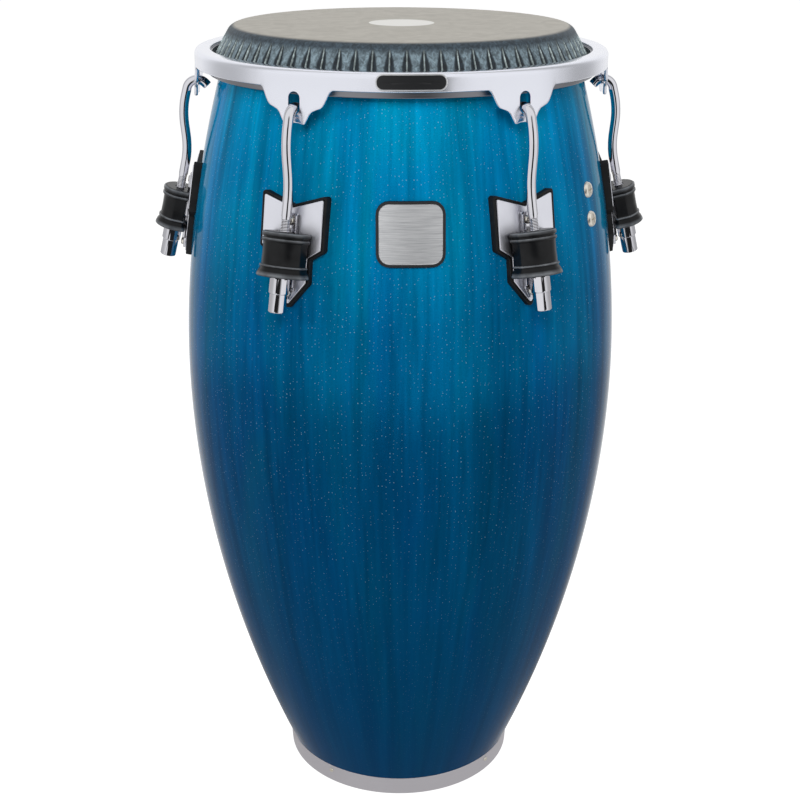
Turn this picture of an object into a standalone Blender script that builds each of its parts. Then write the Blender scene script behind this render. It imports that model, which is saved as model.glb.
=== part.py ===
"""A conga drum: a barrel shell of glued staves with a synthetic head, tuned by six hook rods.

Metres, +Z up, origin on the floor under the middle of the drum. The front, with the badge, faces -Y.
An azimuth is counted from the front towards +X.
"""

import math

import bmesh
import bpy
from mathutils import Matrix, Vector

# Fits
FIT_GAP = 0.0003  # between pieces that touch
HOLE_PLAY = 0.0005  # between a shank and its hole, on the radius

# Shell, from its outside
DRUM_HEIGHT = 0.762  # floor to playing surface
BELLY_RADIUS = 0.2086
BELLY_HEIGHT = 0.4399
SHOULDER_SPREAD = 0.0081  # of the shell's shoulder outside the head's edge
SHOULDER_DROP = 0.047  # of the shoulder below the playing surface
SHOULDER_CURVE = 1.93  # how fast the barrel falls away above the belly
FOOT_RADIUS = 0.118
FOOT_CURVE = 1.94
NECK_DROP = 0.061  # where the outside turns straight, below the playing surface
SHELL_WALL = 0.012
EDGE_ROUND = 0.0055  # rounding of the bearing edge
EDGE_FLAT = 0.002
EDGE_CHAMFER = 0.005
SHELL_SEGMENTS = 48
HOLE_SIDES = 6
BELLY_TO_FOOT_RINGS = 5
BELLY_TO_NECK_RINGS = 5

# Head and its hoop
COLLAR_SPREAD = 0.013  # of the head's edge inside the hoop
HEAD_THICKNESS = 0.0018
COLLAR_FLARE = math.radians(28)  # of the collar, from the vertical
COLLAR_DROP = 0.0375  # of the collar's lower edge below the playing surface
HOOP_WALL = 0.0044
HOOP_HEIGHT = 0.0191
HOOP_SETBACK = 0.0017  # of the hoop's bore inside the rim's
HOOP_ROUND = 0.001

# Rim
RIM_DROP = 0.020  # of the rim's top below the playing surface
RIM_OUTER_RADIUS = 0.190
RIM_TOP_WIDTH = 0.0145
RIM_PLATE = 0.003
RIM_WALL = 0.0032
RIM_SIDE = 0.0158  # height of the rim's outer side
RIM_ROUND = 0.0042
RIM_LIP_ROUND = 0.0015
RIM_SEGMENTS = 72

# Ears of the rim, their corners as half widths and depths under the rim's side
EAR_THICKNESS = 0.003
EAR_INSET = 0.0004  # of the ear's face behind the rim's side where it leaves it
EAR_LEAN = 0.0018  # outward lean of the ear over its depth
EAR_ROOT_HALF = 0.034
EAR_SHOULDER_HALF = 0.0265
EAR_SHOULDER_DEPTH = 0.0109
EAR_WAIST_HALF = 0.0135
EAR_WAIST_DEPTH = 0.0189
EAR_PRONG_HALF = 0.0098
EAR_DEPTH = 0.0288
EAR_SCOOP_HALF = 0.0055
EAR_SCOOP_DEPTH = 0.0012
EAR_ROUND = 0.005
EAR_ROOT = 0.0025  # how far the ear reaches up inside the rim's side
SLOT_WIDTH = 0.011
SLOT_TOP_DEPTH = 0.002  # of the slot's top below the rim's side
LIP_DEPTH = 0.020  # of the slot's foot below the rim's side

# Tension rods
ROD_RADIUS = 0.004
ROD_LEAN = math.radians(4.17)  # of a rod past the shell's own slope, its foot standing out
ROD_STANDOFF = 0.0164  # of the rod's axis off the shell, square to it, at the top of its cover
HOOK_RADIUS = 0.010
HOOK_SEAT_GAP = 0.00075  # between the hook and the slot's foot, for its travel on the slant
HOOK_START = math.radians(15)
HOOK_END = math.radians(138)
HOOK_TAIL = 0.0025
ROD_BEND_RADIUS = 0.080
LOWER_BEND_RISE = 0.0372  # of the rod's lower bend above the cover, along the rod
UPPER_BEND_DROP = 0.0169  # of its upper bend below the middle of the hook
ROD_SIDES = 8
HOOK_STEPS = 7
BEND_STEPS = 3

# Side plates, gaskets and brackets, in the plate's own plane
LUG_DROP = 0.168  # of the plates' seat on the shell below the playing surface
GASKET_THICKNESS = 0.0028
GASKET_BORDER = 0.0034
PLATE_THICKNESS = 0.002
PLATE_WING_HALF = 0.0315
PLATE_WING_TOP = 0.0471
PLATE_NOTCH = 0.0370
PLATE_WING_FOOT = -0.0005
PLATE_TAIL_HALF = 0.019
PLATE_TAIL_TOP = -0.0086
PLATE_TAIL_FOOT = -0.0289
PLATE_TIP = -0.0522
PLATE_CORNER = 0.002
STRAP_THICKNESS = 0.002
STRAP_HALF = 0.0065
STRAP_TOP = 0.030
STRAP_TAPER_START = -0.0355
STRAP_END = -0.0435
STRAP_END_HALF = 0.003
CHEEK_THICKNESS = 0.0015
CHEEK_LOW_HEIGHT = 0.0015  # of the cheeks over the strap beside the bolts
CHEEK_BEVEL = 0.002  # of the cheeks' ends
CHEEK_LAP = 0.004  # how far the cheeks stop short of the barrel's ends
CHEEK_SINK = 0.002  # of the cheeks' front edges behind the barrel's axis
BOLT_UPPER = 0.0232
BOLT_LOWER = -0.0378
CHEEK_END = -0.0345

# Receiver barrel and its moulded cover, along the rod
COVER_HEIGHT = 0.038
COVER_HALF_WIDTH = 0.0202
COVER_FRONT = 0.0155  # of the cover's front before the rod's axis
COVER_BACK = 0.0103  # of its back behind the axis
COVER_CROWN = 0.013  # how far the front bows out
COVER_CHAMFER = 0.002  # of the back's two edges
COVER_SKIRT = 0.0026  # flare of the bottom skirt
COVER_SKIRT_HEIGHT = 0.0075
COVER_RIB = 0.0010  # how far the bands stand out from the body
COVER_BAND = 0.003  # height of the upper band
COVER_GROOVE = 0.001
COVER_GROOVE_BEVEL = 0.0005
COVER_LOWER_BAND = 0.002
COVER_SLOT_PLAY = 0.0005
COVER_SEAT_RISE = 0.0143  # of the cover's top above the plate's seat, along the plate
BARREL_RADIUS = 0.008
BARREL_LIP = 0.0004  # of the barrel above the cover
BARREL_SIDES = 12
BORE_SIDES = 10

# Tension nuts
NUT_COLLAR_ACROSS = 0.0156
NUT_COLLAR_HEIGHT = 0.014
NUT_ACROSS = 0.0136
NUT_HEIGHT = 0.0157
ROD_END_RECESS = 0.002  # of the rod's end inside the nut

# Plate bolts and the two large shell screws
BOLT_RADIUS = 0.002
BOLT_HEAD_RADIUS = 0.0037
BOLT_HEAD_HEIGHT = 0.0024
BOLT_NUT_RADIUS = 0.0055
BOLT_NUT_HEIGHT = 0.0042
SCREW_RADIUS = 0.003
SCREW_HEAD_RADIUS = 0.0073
SCREW_HEAD_HEIGHT = 0.0032
SCREW_NUT_RADIUS = 0.0065
SCREW_NUT_HEIGHT = 0.006
FASTENER_SIDES = 8
HEAD_CROWN_SHARE = 0.7  # of a screw head's radius that its flat top keeps
NUT_TOP_SHARE = 0.8  # of a flanged nut's radius at its far end
THREAD_END_SHARE = 0.5  # of a nut's height that its screw stands out of it
SCREW_AZIMUTH = math.radians(58.8)
SCREW_DROPS = {"upper": 0.135, "lower": 0.161}

# Badge
BADGE_WIDTH = 0.058
BADGE_HEIGHT = 0.054
BADGE_THICKNESS = 0.002
BADGE_CORNER = 0.011
BADGE_DROP = 0.1512

# Foot
BAND_HEIGHT = 0.019
BAND_THICKNESS = 0.0012
BAND_PROUD = 0.0002  # of the band's top outside the shell
BAND_TAPER = 0.0012  # on the radius, top to foot
BAND_CLEARANCE = 0.0005  # of the band over the floor
FOOT_RING_HEIGHT = 0.004
FOOT_RING_WIDTH = 0.0095

LUG_PLACES = {
    "front_left": math.radians(-30),
    "left": math.radians(-90),
    "rear_left": math.radians(-150),
    "rear_right": math.radians(150),
    "right": math.radians(90),
    "front_right": math.radians(30),
}

# Places worked out from the sizes above
RIM_INNER_RADIUS = RIM_OUTER_RADIUS - RIM_TOP_WIDTH
HOOP_INNER_RADIUS = RIM_INNER_RADIUS - HOOP_SETBACK
HEAD_RADIUS = HOOP_INNER_RADIUS - COLLAR_SPREAD
SHOULDER_RADIUS = HEAD_RADIUS + SHOULDER_SPREAD
BAND_TOP_RADIUS = FOOT_RADIUS + BAND_PROUD
BAND_FOOT_RADIUS = BAND_TOP_RADIUS - BAND_TAPER
EDGE_CENTRE_RADIUS = HEAD_RADIUS - HEAD_THICKNESS - FIT_GAP - EDGE_ROUND
EDGE_CENTRE_HEIGHT = DRUM_HEIGHT - HEAD_THICKNESS - FIT_GAP - EDGE_ROUND
NECK_HEIGHT = DRUM_HEIGHT - NECK_DROP
SHOULDER_HEIGHT = DRUM_HEIGHT - SHOULDER_DROP
SHELL_FOOT = FOOT_RING_HEIGHT + FIT_GAP
BAND_TOP = BAND_CLEARANCE + BAND_HEIGHT
REBATE_TOP = BAND_TOP + FIT_GAP
RIM_TOP = DRUM_HEIGHT - RIM_DROP
RIM_SIDE_FOOT = RIM_TOP - RIM_SIDE
LIP_HEIGHT = RIM_SIDE_FOOT - LIP_DEPTH
HOOK_CENTRE_HEIGHT = LIP_HEIGHT - (HOOK_RADIUS - ROD_RADIUS - HOOK_SEAT_GAP)
BORE_RADIUS = ROD_RADIUS + HOLE_PLAY


def shell_radius(height):
    """The barrel's outside: a power curve down from the belly on each side of it."""
    if height > BELLY_HEIGHT:
        share = (height - BELLY_HEIGHT) / (SHOULDER_HEIGHT - BELLY_HEIGHT)
        return BELLY_RADIUS - (BELLY_RADIUS - SHOULDER_RADIUS) * share**SHOULDER_CURVE
    share = (BELLY_HEIGHT - height) / (BELLY_HEIGHT - REBATE_TOP)
    return BELLY_RADIUS - (BELLY_RADIUS - FOOT_RADIUS) * share**FOOT_CURVE


def shell_slope(height):
    """Angle of the shell's outside from the vertical, positive where it leans in going up."""
    step = 0.0001
    return math.atan2(shell_radius(height - step) - shell_radius(height + step), 2 * step)


def even_steps(start, end, count):
    """count steps from start to end, both ends included."""
    return [start + (end - start) * i / count for i in range(count + 1)]


def barrel_heights():
    """Heights of the shell's facet rings, from the top of the foot's rebate up to the neck."""
    below = even_steps(REBATE_TOP, BELLY_HEIGHT, BELLY_TO_FOOT_RINGS)
    above = even_steps(BELLY_HEIGHT, NECK_HEIGHT, BELLY_TO_NECK_RINGS)
    return below + above[1:]


def inside_heights():
    """Heights of the facet rings inside the shell: every second one of the outside."""
    return barrel_heights()[::2]


def arc(centre, radius, start, end, steps):
    """Points on an arc in a plane, from the angle start to the angle end."""
    return [
        (centre[0] + radius * math.cos(angle), centre[1] + radius * math.sin(angle))
        for angle in even_steps(start, end, steps)
    ]


def rounded_outline(corners, radius, steps=2):
    """A closed outline with an arc in place of each corner."""
    points = []
    for i, corner in enumerate(corners):
        here = Vector(corner)
        before = (Vector(corners[i - 1]) - here).normalized()
        after = (Vector(corners[(i + 1) % len(corners)]) - here).normalized()
        half = before.angle(after) / 2
        reach = radius / math.tan(half)
        middle = here + (before + after).normalized() * (radius / math.sin(half))
        first = here + before * reach - middle
        turn = first.angle_signed(here + after * reach - middle)
        for angle in even_steps(0, -turn, steps):
            points.append(tuple(middle + Matrix.Rotation(angle, 2) @ first))
    return points


def inset_corners(corners, distance):
    """The corners of an anticlockwise outline whose sides all move inwards by the distance."""
    moved = []
    for i, corner in enumerate(corners):
        here = Vector(corner)
        along = (here - Vector(corners[i - 1])).normalized()
        onward = (Vector(corners[(i + 1) % len(corners)]) - here).normalized()
        first = Vector((-along.y, along.x))
        second = Vector((-onward.y, onward.x))
        moved.append(tuple(here + (first + second) * (distance / (1 + first.dot(second)))))
    return moved


def mirrored(half):
    """A whole anticlockwise outline from its right half, listed from the bottom up."""
    left = [(-x, y) for x, y in reversed(half) if x > 0]
    return half + left


def make_object(name, data, material=None):
    """A new object that shows in the scene."""
    made = bpy.data.objects.new(name, data)
    bpy.context.scene.collection.objects.link(made)
    if material:
        data.materials.append(material)
    return made


def mesh_from(shape, name):
    """A Blender mesh from a bmesh, its faces pointing out."""
    bmesh.ops.recalc_face_normals(shape, faces=shape.faces)
    mesh = bpy.data.meshes.new(name)
    shape.to_mesh(mesh)
    shape.free()
    return mesh


def turned(name, profile, segments):
    """A solid turned about Z from a closed profile of (radius, height) points."""
    shape = bmesh.new()
    corners = [shape.verts.new((0, -radius, height)) for radius, height in profile]
    edges = []
    for i, corner in enumerate(corners):
        following = corners[(i + 1) % len(corners)]
        if corner.co.y or following.co.y:
            edges.append(shape.edges.new((corner, following)))
    bmesh.ops.spin(
        shape,
        geom=corners + edges,
        axis=(0, 0, 1),
        angle=math.tau,
        steps=segments,
        use_merge=True,
    )
    bmesh.ops.remove_doubles(shape, verts=shape.verts, dist=1e-6)
    return mesh_from(shape, name)


def prism(name, outline, start, end, axis="Y"):
    """A flat outline pushed out between two places on an axis, Y outwards being negative."""
    places = {
        "X": lambda a, b, depth: (depth, a, b),
        "Y": lambda a, b, depth: (a, -depth, b),
        "Z": lambda a, b, depth: (a, b, depth),
    }
    shape = bmesh.new()
    corners = [shape.verts.new(places[axis](a, b, start)) for a, b in outline]
    face = shape.faces.new(corners)
    pushed = bmesh.ops.extrude_face_region(shape, geom=[face])["geom"]
    moved = [item for item in pushed if isinstance(item, bmesh.types.BMVert)]
    push = Vector(places[axis](0, 0, end)) - Vector(places[axis](0, 0, start))
    bmesh.ops.translate(shape, verts=moved, vec=push)
    return mesh_from(shape, name)


def rod_mesh(name, radius, start, end, sides, place=None):
    """A round or many-sided bar from start to end on Z, moved by a matrix."""
    shape = bmesh.new()
    bmesh.ops.create_cone(
        shape,
        cap_ends=True,
        segments=sides,
        radius1=radius,
        radius2=radius,
        depth=end - start,
        matrix=(place or Matrix()) @ Matrix.Translation((0, 0, (start + end) / 2)),
    )
    return mesh_from(shape, name)


def combine(base, steps):
    """The base mesh after a list of Boolean steps, each one ("UNION" and so on, mesh)."""
    worked = make_object("work", base)
    helpers = []
    for operation, mesh in steps:
        helper = make_object("helper", mesh)
        helper.hide_render = True
        helper.display_type = "WIRE"
        change = worked.modifiers.new(operation.lower(), "BOOLEAN")
        change.operation = operation
        change.solver = "EXACT"
        change.object = helper
        helpers.append(helper)
    bpy.context.view_layer.update()
    graph = bpy.context.evaluated_depsgraph_get()
    result = bpy.data.meshes.new_from_object(worked.evaluated_get(graph))
    for used in [worked] + helpers:
        bpy.data.objects.remove(used)
    return result


def dress(data, name, material, crease=math.radians(32)):
    """Names a mesh, gives it its material and shades its round faces smooth."""
    data.name = name
    data.materials.clear()
    data.materials.append(material)
    data.shade_smooth()
    data.set_sharp_from_angle(angle=crease)
    return data


def finish(name, colour, roughness, metallic):
    """A material with one colour, for the solid model."""
    made = bpy.data.materials.new(name)
    made.use_nodes = True
    shader = made.node_tree.nodes["Principled BSDF"]
    shader.inputs["Base Color"].default_value = (*colour, 1)
    shader.inputs["Roughness"].default_value = roughness
    shader.inputs["Metallic"].default_value = metallic
    made.diffuse_color = (*colour, 1)
    return made


def shell_profile():
    """Outside up, over the bearing edge, inside down."""
    heights = barrel_heights()
    outside = [(shell_radius(height), height) for height in heights]
    band_inner = BAND_FOOT_RADIUS - BAND_THICKNESS - FIT_GAP
    rebate = [
        (band_inner, SHELL_FOOT),
        (band_inner, REBATE_TOP),
    ]
    centre = (EDGE_CENTRE_RADIUS, EDGE_CENTRE_HEIGHT)
    over = arc(centre, EDGE_ROUND, 0, math.pi / 2, 2)
    top = EDGE_CENTRE_HEIGHT + EDGE_ROUND
    flat_end = EDGE_CENTRE_RADIUS - EDGE_FLAT
    neck_inner = EDGE_CENTRE_RADIUS + EDGE_ROUND - SHELL_WALL
    inner_edge = [(flat_end, top), (neck_inner, top - EDGE_CHAMFER)]
    inside = [(shell_radius(height) - SHELL_WALL, height) for height in inside_heights()[::-1]]
    inner_foot = [(FOOT_RADIUS - SHELL_WALL, SHELL_FOOT)]
    return rebate + outside + over + inner_edge + inside + inner_foot


def barrel_plug(extra):
    """A solid of the shell's outside, larger by extra, that trims what seats on it."""
    heights = [height for height in barrel_heights() if height > BELLY_HEIGHT]
    heights = [BELLY_HEIGHT] + heights
    sides = [(shell_radius(height) + extra, height) for height in heights]
    return turned("plug", [(0, heights[0])] + sides + [(0, heights[-1])], SHELL_SEGMENTS)


class PlateSeat:
    """The plane that a side plate lies in, at the front of the drum."""

    def __init__(self):
        self.height = DRUM_HEIGHT - LUG_DROP
        self.radius = shell_radius(self.height)
        self.tilt = shell_slope(self.height)
        self.gasket_face = FIT_GAP + GASKET_THICKNESS
        self.plate_back = self.gasket_face + FIT_GAP
        self.plate_face = self.plate_back + PLATE_THICKNESS
        self.strap_back = self.plate_face + FIT_GAP
        self.strap_face = self.strap_back + STRAP_THICKNESS

    def frame(self, azimuth=0.0):
        """Local X along the plate's width, -Y out of its face, Z up the plate."""
        out = Matrix.Translation((0, -self.radius, self.height))
        return Matrix.Rotation(azimuth, 4, "Z") @ out @ Matrix.Rotation(-self.tilt, 4, "X")


class RodLine:
    """A rod's straight axis and its hook, in the plane through the drum's axis."""

    def __init__(self, seat):
        self.tilt = seat.tilt + ROD_LEAN
        self.radius = seat.radius + ROD_STANDOFF * math.cos(seat.tilt)
        self.height = seat.height + ROD_STANDOFF * math.sin(seat.tilt)
        self.radius -= COVER_SEAT_RISE * math.sin(seat.tilt)
        self.height += COVER_SEAT_RISE * math.cos(seat.tilt)

    def frame(self, azimuth=0.0):
        """Local Z up along the rod, -Y away from the drum, origin at the cover's top."""
        out = Matrix.Translation((0, -self.radius, self.height))
        return Matrix.Rotation(azimuth, 4, "Z") @ out @ Matrix.Rotation(-self.tilt, 4, "X")

    def to_local(self, point):
        """(radius, height) in the rod's own frame, as its Y and Z."""
        placed = self.frame().inverted() @ Vector((0, -point[0], point[1]))
        return placed.y, placed.z


def ear_radius(depth):
    """Outside radius of an ear at a depth below the rim's side."""
    return RIM_OUTER_RADIUS - EAR_INSET + EAR_LEAN * depth / EAR_DEPTH


def rod_points(line):
    """Centreline of a rod from its foot to the tip of its hook, in its own frame."""
    centre_radius = ear_radius(LIP_DEPTH) - EAR_THICKNESS / 2
    centre = (centre_radius, HOOK_CENTRE_HEIGHT)
    hook = arc(centre, HOOK_RADIUS, HOOK_START, HOOK_END, HOOK_STEPS)
    tail = (
        hook[-1][0] - HOOK_TAIL * math.sin(HOOK_END),
        hook[-1][1] + HOOK_TAIL * math.cos(HOOK_END),
    )
    slope = math.tan(HOOK_START)
    upper_drop = UPPER_BEND_DROP + HOOK_RADIUS * math.sin(HOOK_START)
    upper = (hook[0][0] + slope * upper_drop, hook[0][1] - upper_drop)
    foot = -(COVER_HEIGHT + FIT_GAP + NUT_COLLAR_HEIGHT + NUT_HEIGHT - ROD_END_RECESS)
    path = [Vector((0, foot)), Vector((0, LOWER_BEND_RISE)), Vector(line.to_local(upper))]
    path += [Vector(line.to_local(point)) for point in hook + [tail]]
    points = [path[0]]
    for i in (1, 2):
        points += bend(path[i - 1], path[i], path[i + 1])
    return points + path[3:]


def bend(before, corner, after):
    """Points on the arc that rounds one bend of a rod."""
    back = (before - corner).normalized()
    onward = (after - corner).normalized()
    half = back.angle(onward) / 2
    middle = corner + (back + onward).normalized() * (ROD_BEND_RADIUS / math.sin(half))
    first = corner + back * (ROD_BEND_RADIUS / math.tan(half)) - middle
    last = corner + onward * (ROD_BEND_RADIUS / math.tan(half)) - middle
    turn = first.angle_signed(last)
    return [
        middle + Matrix.Rotation(angle, 2) @ first for angle in even_steps(0, -turn, BEND_STEPS)
    ]


def make_shell(seat, wood):
    """The stave shell with its bolt holes."""
    cuts = []
    bolt_hole = BOLT_RADIUS + HOLE_PLAY
    for azimuth in LUG_PLACES.values():
        for rise in (BOLT_UPPER, BOLT_LOWER):
            cuts.append(("DIFFERENCE", hole_through(seat.frame(azimuth), rise, bolt_hole)))
    for drop in SCREW_DROPS.values():
        place = screw_frame(drop)
        cuts.append(("DIFFERENCE", hole_through(place, 0, SCREW_RADIUS + HOLE_PLAY)))
    mesh = combine(turned("shell", shell_profile(), SHELL_SEGMENTS), cuts)
    make_object("shell", dress(mesh, "shell", wood))


def hole_through(frame, rise, radius):
    """A cutter square to a seat, long enough for the shell's wall and what lies on it."""
    across = frame @ Matrix.Translation((0, 0, rise)) @ Matrix.Rotation(math.pi / 2, 4, "X")
    reach = SHELL_WALL * 2
    return rod_mesh("hole", radius / math.cos(math.pi / HOLE_SIDES), -reach, reach, HOLE_SIDES, across)


def screw_frame(drop):
    """Where a shell screw enters the shell: -Y out of the shell."""
    height = DRUM_HEIGHT - drop
    facet = math.pi / SHELL_SEGMENTS
    off_facet = (SCREW_AZIMUTH / facet + 1) % 2 - 1
    flat = shell_radius(height) * math.cos(facet) / math.cos(off_facet * facet)
    out = Matrix.Translation((0, -flat, height))
    turn = Matrix.Rotation(SCREW_AZIMUTH, 4, "Z")
    return turn @ out @ Matrix.Rotation(-shell_slope(height), 4, "X")


def make_head(skin):
    """The playing surface, its fold over the bearing edge and its flared collar."""
    centre = (EDGE_CENTRE_RADIUS, EDGE_CENTRE_HEIGHT)
    nest = HOOP_INNER_RADIUS - FIT_GAP
    foot = DRUM_HEIGHT - COLLAR_DROP
    sides = []
    for layer in (EDGE_ROUND + FIT_GAP + HEAD_THICKNESS, EDGE_ROUND + FIT_GAP):
        fold = arc(centre, layer, math.pi / 2, COLLAR_FLARE, 2)
        end = nest if not sides else nest - HEAD_THICKNESS
        fall = (end - fold[-1][0]) / math.tan(COLLAR_FLARE)
        flare_end = (end, fold[-1][1] - fall)
        sides.append([(0, centre[1] + layer)] + fold + [flare_end, (end, foot)])
    profile = sides[0] + sides[1][::-1]
    mesh = turned("drumhead", profile, SHELL_SEGMENTS)
    make_object("drumhead", dress(mesh, "drumhead", skin))


def make_hoop(steel):
    """The flesh hoop that holds the head's edge, under the rim."""
    outer = HOOP_INNER_RADIUS + HOOP_WALL
    top = RIM_TOP - RIM_PLATE - FIT_GAP
    foot = top - HOOP_HEIGHT
    profile = [
        (HOOP_INNER_RADIUS, top),
        (outer, top),
        (outer, foot + HOOP_ROUND),
        (outer - HOOP_ROUND, foot),
        (HOOP_INNER_RADIUS, foot),
    ]
    mesh = turned("flesh_hoop", profile, SHELL_SEGMENTS)
    make_object("flesh_hoop", dress(mesh, "flesh_hoop", steel))


def ear_outline():
    """An ear's outline, its corners rounded, as (along the rim, below the rim's side)."""
    half = [
        (0, -(EAR_DEPTH - EAR_SCOOP_DEPTH)),
        (EAR_SCOOP_HALF, -(EAR_DEPTH - EAR_SCOOP_DEPTH)),
        (EAR_PRONG_HALF, -EAR_DEPTH),
        (EAR_WAIST_HALF, -EAR_WAIST_DEPTH),
        (EAR_SHOULDER_HALF, -EAR_SHOULDER_DEPTH),
        (EAR_ROOT_HALF, EAR_ROOT),
    ]
    corners = mirrored(half)
    whole = []
    for i, corner in enumerate(corners):
        if abs(corner[0]) in (EAR_WAIST_HALF, EAR_SHOULDER_HALF):
            trio = [corners[i - 1], corner, corners[(i + 1) % len(corners)]]
            whole += rounded_outline(trio, EAR_ROUND, 2)[3:6]
        else:
            whole.append(corner)
    return whole


def ear_mesh():
    """One ear at the front: its flat outline pushed out, then bent round onto the rim's side."""
    shape = bmesh.new()
    corners = [shape.verts.new((x, 0, y)) for x, y in ear_outline()]
    face = shape.faces.new(corners)
    pushed = bmesh.ops.extrude_face_region(shape, geom=[face])["geom"]
    moved = [item for item in pushed if isinstance(item, bmesh.types.BMVert)]
    bmesh.ops.translate(shape, verts=moved, vec=(0, EAR_THICKNESS, 0))
    facet = math.tau / RIM_SEGMENTS
    for step in range(-2, 3):
        bmesh.ops.bisect_plane(
            shape,
            geom=shape.verts[:] + shape.edges[:] + shape.faces[:],
            plane_co=(step * facet * RIM_OUTER_RADIUS, 0, 0),
            plane_no=(1, 0, 0),
        )
    for vertex in shape.verts:
        along, inward, rise = vertex.co
        angle = along / RIM_OUTER_RADIUS
        off_facet = abs((angle / facet + 0.5) % 1 - 0.5) * facet
        flat = math.cos(facet / 2) / math.cos(facet / 2 - off_facet)
        radius = (ear_radius(-rise) - inward) * flat
        vertex.co = (
            radius * math.sin(angle),
            -radius * math.cos(angle),
            RIM_SIDE_FOOT + rise,
        )
    return mesh_from(shape, "ear")


def slot_mesh():
    """The cutter of an ear's slot: upright, with round ends."""
    half = SLOT_WIDTH / 2
    top = (0, RIM_SIDE_FOOT - SLOT_TOP_DEPTH - half)
    foot = (0, LIP_HEIGHT + half)
    outline = arc(top, half, 0, math.pi, 4) + arc(foot, half, math.pi, math.tau, 4)
    reach = EAR_THICKNESS * 3
    return prism("slot", outline, RIM_OUTER_RADIUS - reach, RIM_OUTER_RADIUS + reach)


def make_rim(chrome):
    """The rounded rim with its six slotted ears."""
    inner_wall = RIM_OUTER_RADIUS - RIM_WALL
    shoulder = (RIM_OUTER_RADIUS - RIM_ROUND, RIM_TOP - RIM_ROUND)
    lip = (RIM_INNER_RADIUS + RIM_LIP_ROUND, RIM_TOP - RIM_LIP_ROUND)
    profile = arc(lip, RIM_LIP_ROUND, math.pi, math.pi / 2, 1)
    profile += arc(shoulder, RIM_ROUND, math.pi / 2, 0, 2)
    profile += [
        (RIM_OUTER_RADIUS, RIM_SIDE_FOOT),
        (inner_wall, RIM_SIDE_FOOT),
        (inner_wall, RIM_TOP - RIM_PLATE),
        (RIM_INNER_RADIUS, RIM_TOP - RIM_PLATE),
    ]
    steps = []
    for operation, made in (("UNION", ear_mesh()), ("DIFFERENCE", slot_mesh())):
        for azimuth in LUG_PLACES.values():
            copy = made.copy()
            copy.transform(Matrix.Rotation(azimuth, 4, "Z"))
            steps.append((operation, copy))
    mesh = combine(turned("rim", profile, RIM_SEGMENTS), steps)
    make_object("rim", dress(mesh, "rim", chrome))


def plate_corners():
    """Corners of the gasket's winged outline in the plate's plane, anticlockwise."""
    half = [
        (0, PLATE_TIP),
        (PLATE_TAIL_HALF, PLATE_TAIL_FOOT),
        (PLATE_TAIL_HALF, PLATE_TAIL_TOP),
        (PLATE_WING_HALF, PLATE_WING_FOOT),
        (PLATE_WING_HALF, PLATE_WING_TOP),
        (0, PLATE_NOTCH),
    ]
    return mirrored(half)


def gasket_mesh(seat):
    """The rubber gasket: flat face for the plate, back trimmed to the barrel."""
    outline = rounded_outline(plate_corners(), PLATE_CORNER, 1)
    depth = -SHELL_WALL
    base = prism("gasket", outline, depth, seat.gasket_face)
    plug = barrel_plug(FIT_GAP)
    plug.transform(seat.frame().inverted())
    steps = [("DIFFERENCE", plug)]
    for rise in (BOLT_UPPER, BOLT_LOWER):
        cut = hole_through(Matrix(), rise, BOLT_RADIUS + HOLE_PLAY)
        steps.append(("DIFFERENCE", cut))
    return combine(base, steps)


def plate_mesh(seat):
    """The steel side plate, inside the gasket's raised border."""
    corners = inset_corners(plate_corners(), GASKET_BORDER)
    outline = rounded_outline(corners, PLATE_CORNER, 1)
    base = prism("plate", outline, seat.plate_back, seat.plate_face)
    steps = []
    for rise in (BOLT_UPPER, BOLT_LOWER):
        cut = hole_through(Matrix(), rise, BOLT_RADIUS + HOLE_PLAY)
        steps.append(("DIFFERENCE", cut))
    return combine(base, steps)


def strap_outline():
    """The bracket's base on the plate, tapered at its lower end."""
    half = [
        (STRAP_END_HALF, STRAP_END),
        (STRAP_HALF, STRAP_TAPER_START),
        (STRAP_HALF, STRAP_TOP),
    ]
    return mirrored(half)


def bracket_mesh(seat, line):
    """The bracket: base strap, two cheeks and the barrel that the rod runs through."""
    into_seat = seat.frame().inverted() @ line.frame()
    barrel_end = -(COVER_HEIGHT - FIT_GAP)
    top = into_seat @ Vector((0, 0, 0))
    foot = into_seat @ Vector((0, 0, barrel_end))
    low = seat.strap_face + CHEEK_LOW_HEIGHT
    cheek = [
        (-seat.strap_back, CHEEK_END),
        (-low, CHEEK_END + CHEEK_BEVEL),
        (-low, foot.z),
        (foot.y + CHEEK_SINK, foot.z + CHEEK_LAP),
        (top.y + CHEEK_SINK, top.z - CHEEK_LAP),
        (-low, top.z),
        (-low, STRAP_TOP - CHEEK_BEVEL),
        (-seat.strap_back, STRAP_TOP),
    ]
    steps = []
    for side in (-1, 1):
        outer = side * STRAP_HALF
        inner = side * (STRAP_HALF - CHEEK_THICKNESS)
        steps.append(("UNION", prism("cheek", cheek, min(outer, inner), max(outer, inner), "X")))
    barrel = rod_mesh("barrel", BARREL_RADIUS, barrel_end, BARREL_LIP, BARREL_SIDES, into_seat)
    steps.append(("UNION", barrel))
    reach = COVER_HEIGHT
    bore = rod_mesh("bore", BORE_RADIUS, -2 * reach, reach, BORE_SIDES, into_seat)
    steps.append(("DIFFERENCE", bore))
    for rise in (BOLT_UPPER, BOLT_LOWER):
        cut = hole_through(Matrix(), rise, BOLT_RADIUS + HOLE_PLAY)
        steps.append(("DIFFERENCE", cut))
    base = prism("strap", strap_outline(), seat.strap_back, seat.strap_face)
    return combine(base, steps)


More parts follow.
